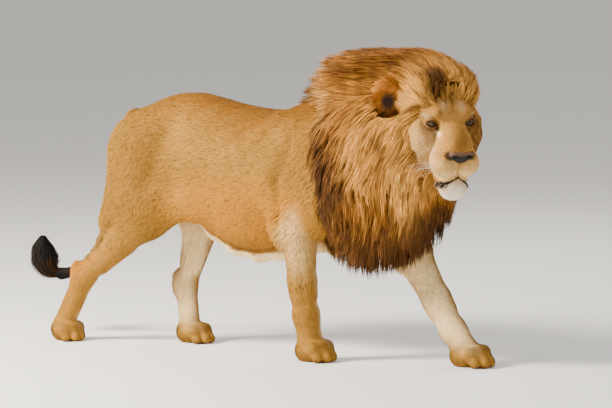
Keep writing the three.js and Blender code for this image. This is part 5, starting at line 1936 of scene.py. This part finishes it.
# ---------------------------------------------------------------- studio
@dataclass(frozen=True)
class Studio:
    """Pale floor, soft lights and the camera, 33 degrees ahead of broadside and 6 degrees up."""

    azimuth: float = 33.0
    elevation: float = 6.0
    distance: float = 20.0
    aim: Triple = (0.0, 0.0, 587.0)
    lens: float = 305.6
    floor_half: float = 60.0  # metres
    floor_colour: tuple[float, ...] = (0.80, 0.78, 0.75, 1.0)
    world_colour: tuple[float, ...] = (0.96, 0.94, 0.91, 1.0)
    world_strength: float = 0.7
    lamp_distance: float = 5.0  # metres from the lion's middle
    lamps: tuple[tuple[str, Triple, float, float, Triple], ...] = (
        ("key", (-0.68, -0.80, 0.66), 900.0, 1.4, (1.0, 0.93, 0.82)),
        ("fill", (1.0, -0.9, 0.5), 100.0, 4.0, (0.98, 0.98, 1.0)),
        ("rim", (-0.3, 1.0, 0.9), 110.0, 3.0, (1.0, 0.97, 0.92)),
    )  # name, the way the lamp stands, watts, size in metres, colour

    def back(self) -> Array:
        """Unit vector from the lion to the camera."""
        turn, rise = np.radians((self.azimuth, self.elevation))
        return np.array([np.sin(turn) * np.cos(rise), -np.cos(turn) * np.cos(rise), np.sin(rise)])

    def add_camera(self) -> None:
        """Camera at its distance, aimed at the middle of the picture."""
        camera = bpy.data.cameras.new("camera")
        camera.lens = self.lens
        camera.clip_end = 200.0
        seen = bpy.data.objects.new("camera", camera)
        bpy.context.scene.collection.objects.link(seen)
        seen.location = Vector(placed(self.aim) + self.back() * self.distance)
        seen.rotation_euler = Vector(self.back()).to_track_quat("Z", "Y").to_euler()
        bpy.context.scene.camera = seen

    def add_floor(self) -> None:
        """Wide pale floor."""
        mesh = bpy.data.meshes.new("floor")
        wide = self.floor_half
        corners = [(-wide, -wide, 0), (wide, -wide, 0), (wide, wide, 0), (-wide, wide, 0)]
        mesh.from_pydata(corners, [], [(0, 1, 2, 3)])
        material = bpy.data.materials.new("floor")
        material.use_nodes = True
        shader = material.node_tree.nodes["Principled BSDF"]
        shader.inputs["Base Color"].default_value = self.floor_colour
        shader.inputs["Roughness"].default_value = 0.9
        mesh.materials.append(material)
        floor = bpy.data.objects.new("floor", mesh)
        bpy.context.scene.collection.objects.link(floor)

    def add_light(self, name: str, way: Triple, power: float, size: float, colour: Triple) -> None:
        """Square soft light at the lamps' distance, facing the lion's middle."""
        light = bpy.data.lights.new(name, "AREA")
        light.energy = power
        light.size = size
        light.color = colour
        lamp = bpy.data.objects.new(name, light)
        bpy.context.scene.collection.objects.link(lamp)
        away = Vector(unit(np.array(way)))
        lamp.location = Vector(placed(self.aim)) + away * self.lamp_distance
        lamp.rotation_euler = away.to_track_quat("Z", "Y").to_euler()

    def build(self) -> None:
        """Camera, floor, key, fill and rim lights, and a pale world."""
        self.add_camera()
        self.add_floor()
        for lamp in self.lamps:
            self.add_light(*lamp)
        world = bpy.data.worlds.new("studio")
        world.use_nodes = True
        backdrop = world.node_tree.nodes["Background"]
        backdrop.inputs["Color"].default_value = self.world_colour
        backdrop.inputs["Strength"].default_value = self.world_strength
        bpy.context.scene.world = world


def main() -> None:
    """Builds the lion piece by piece, then the studio."""
    logging.basicConfig(level=logging.INFO, format="%(message)s")
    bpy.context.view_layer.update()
    skin = Skin().build()
    ground = Ground(skin)
    ShortCoat().build(ground)
    Mane().build(ground)
    TailTuft().build(ground)
    for side in Side:
        Eyeball(side).build()
    Nose().build()
    Whiskers().build()
    Studio().build()


if __name__ == "__main__":
    main()
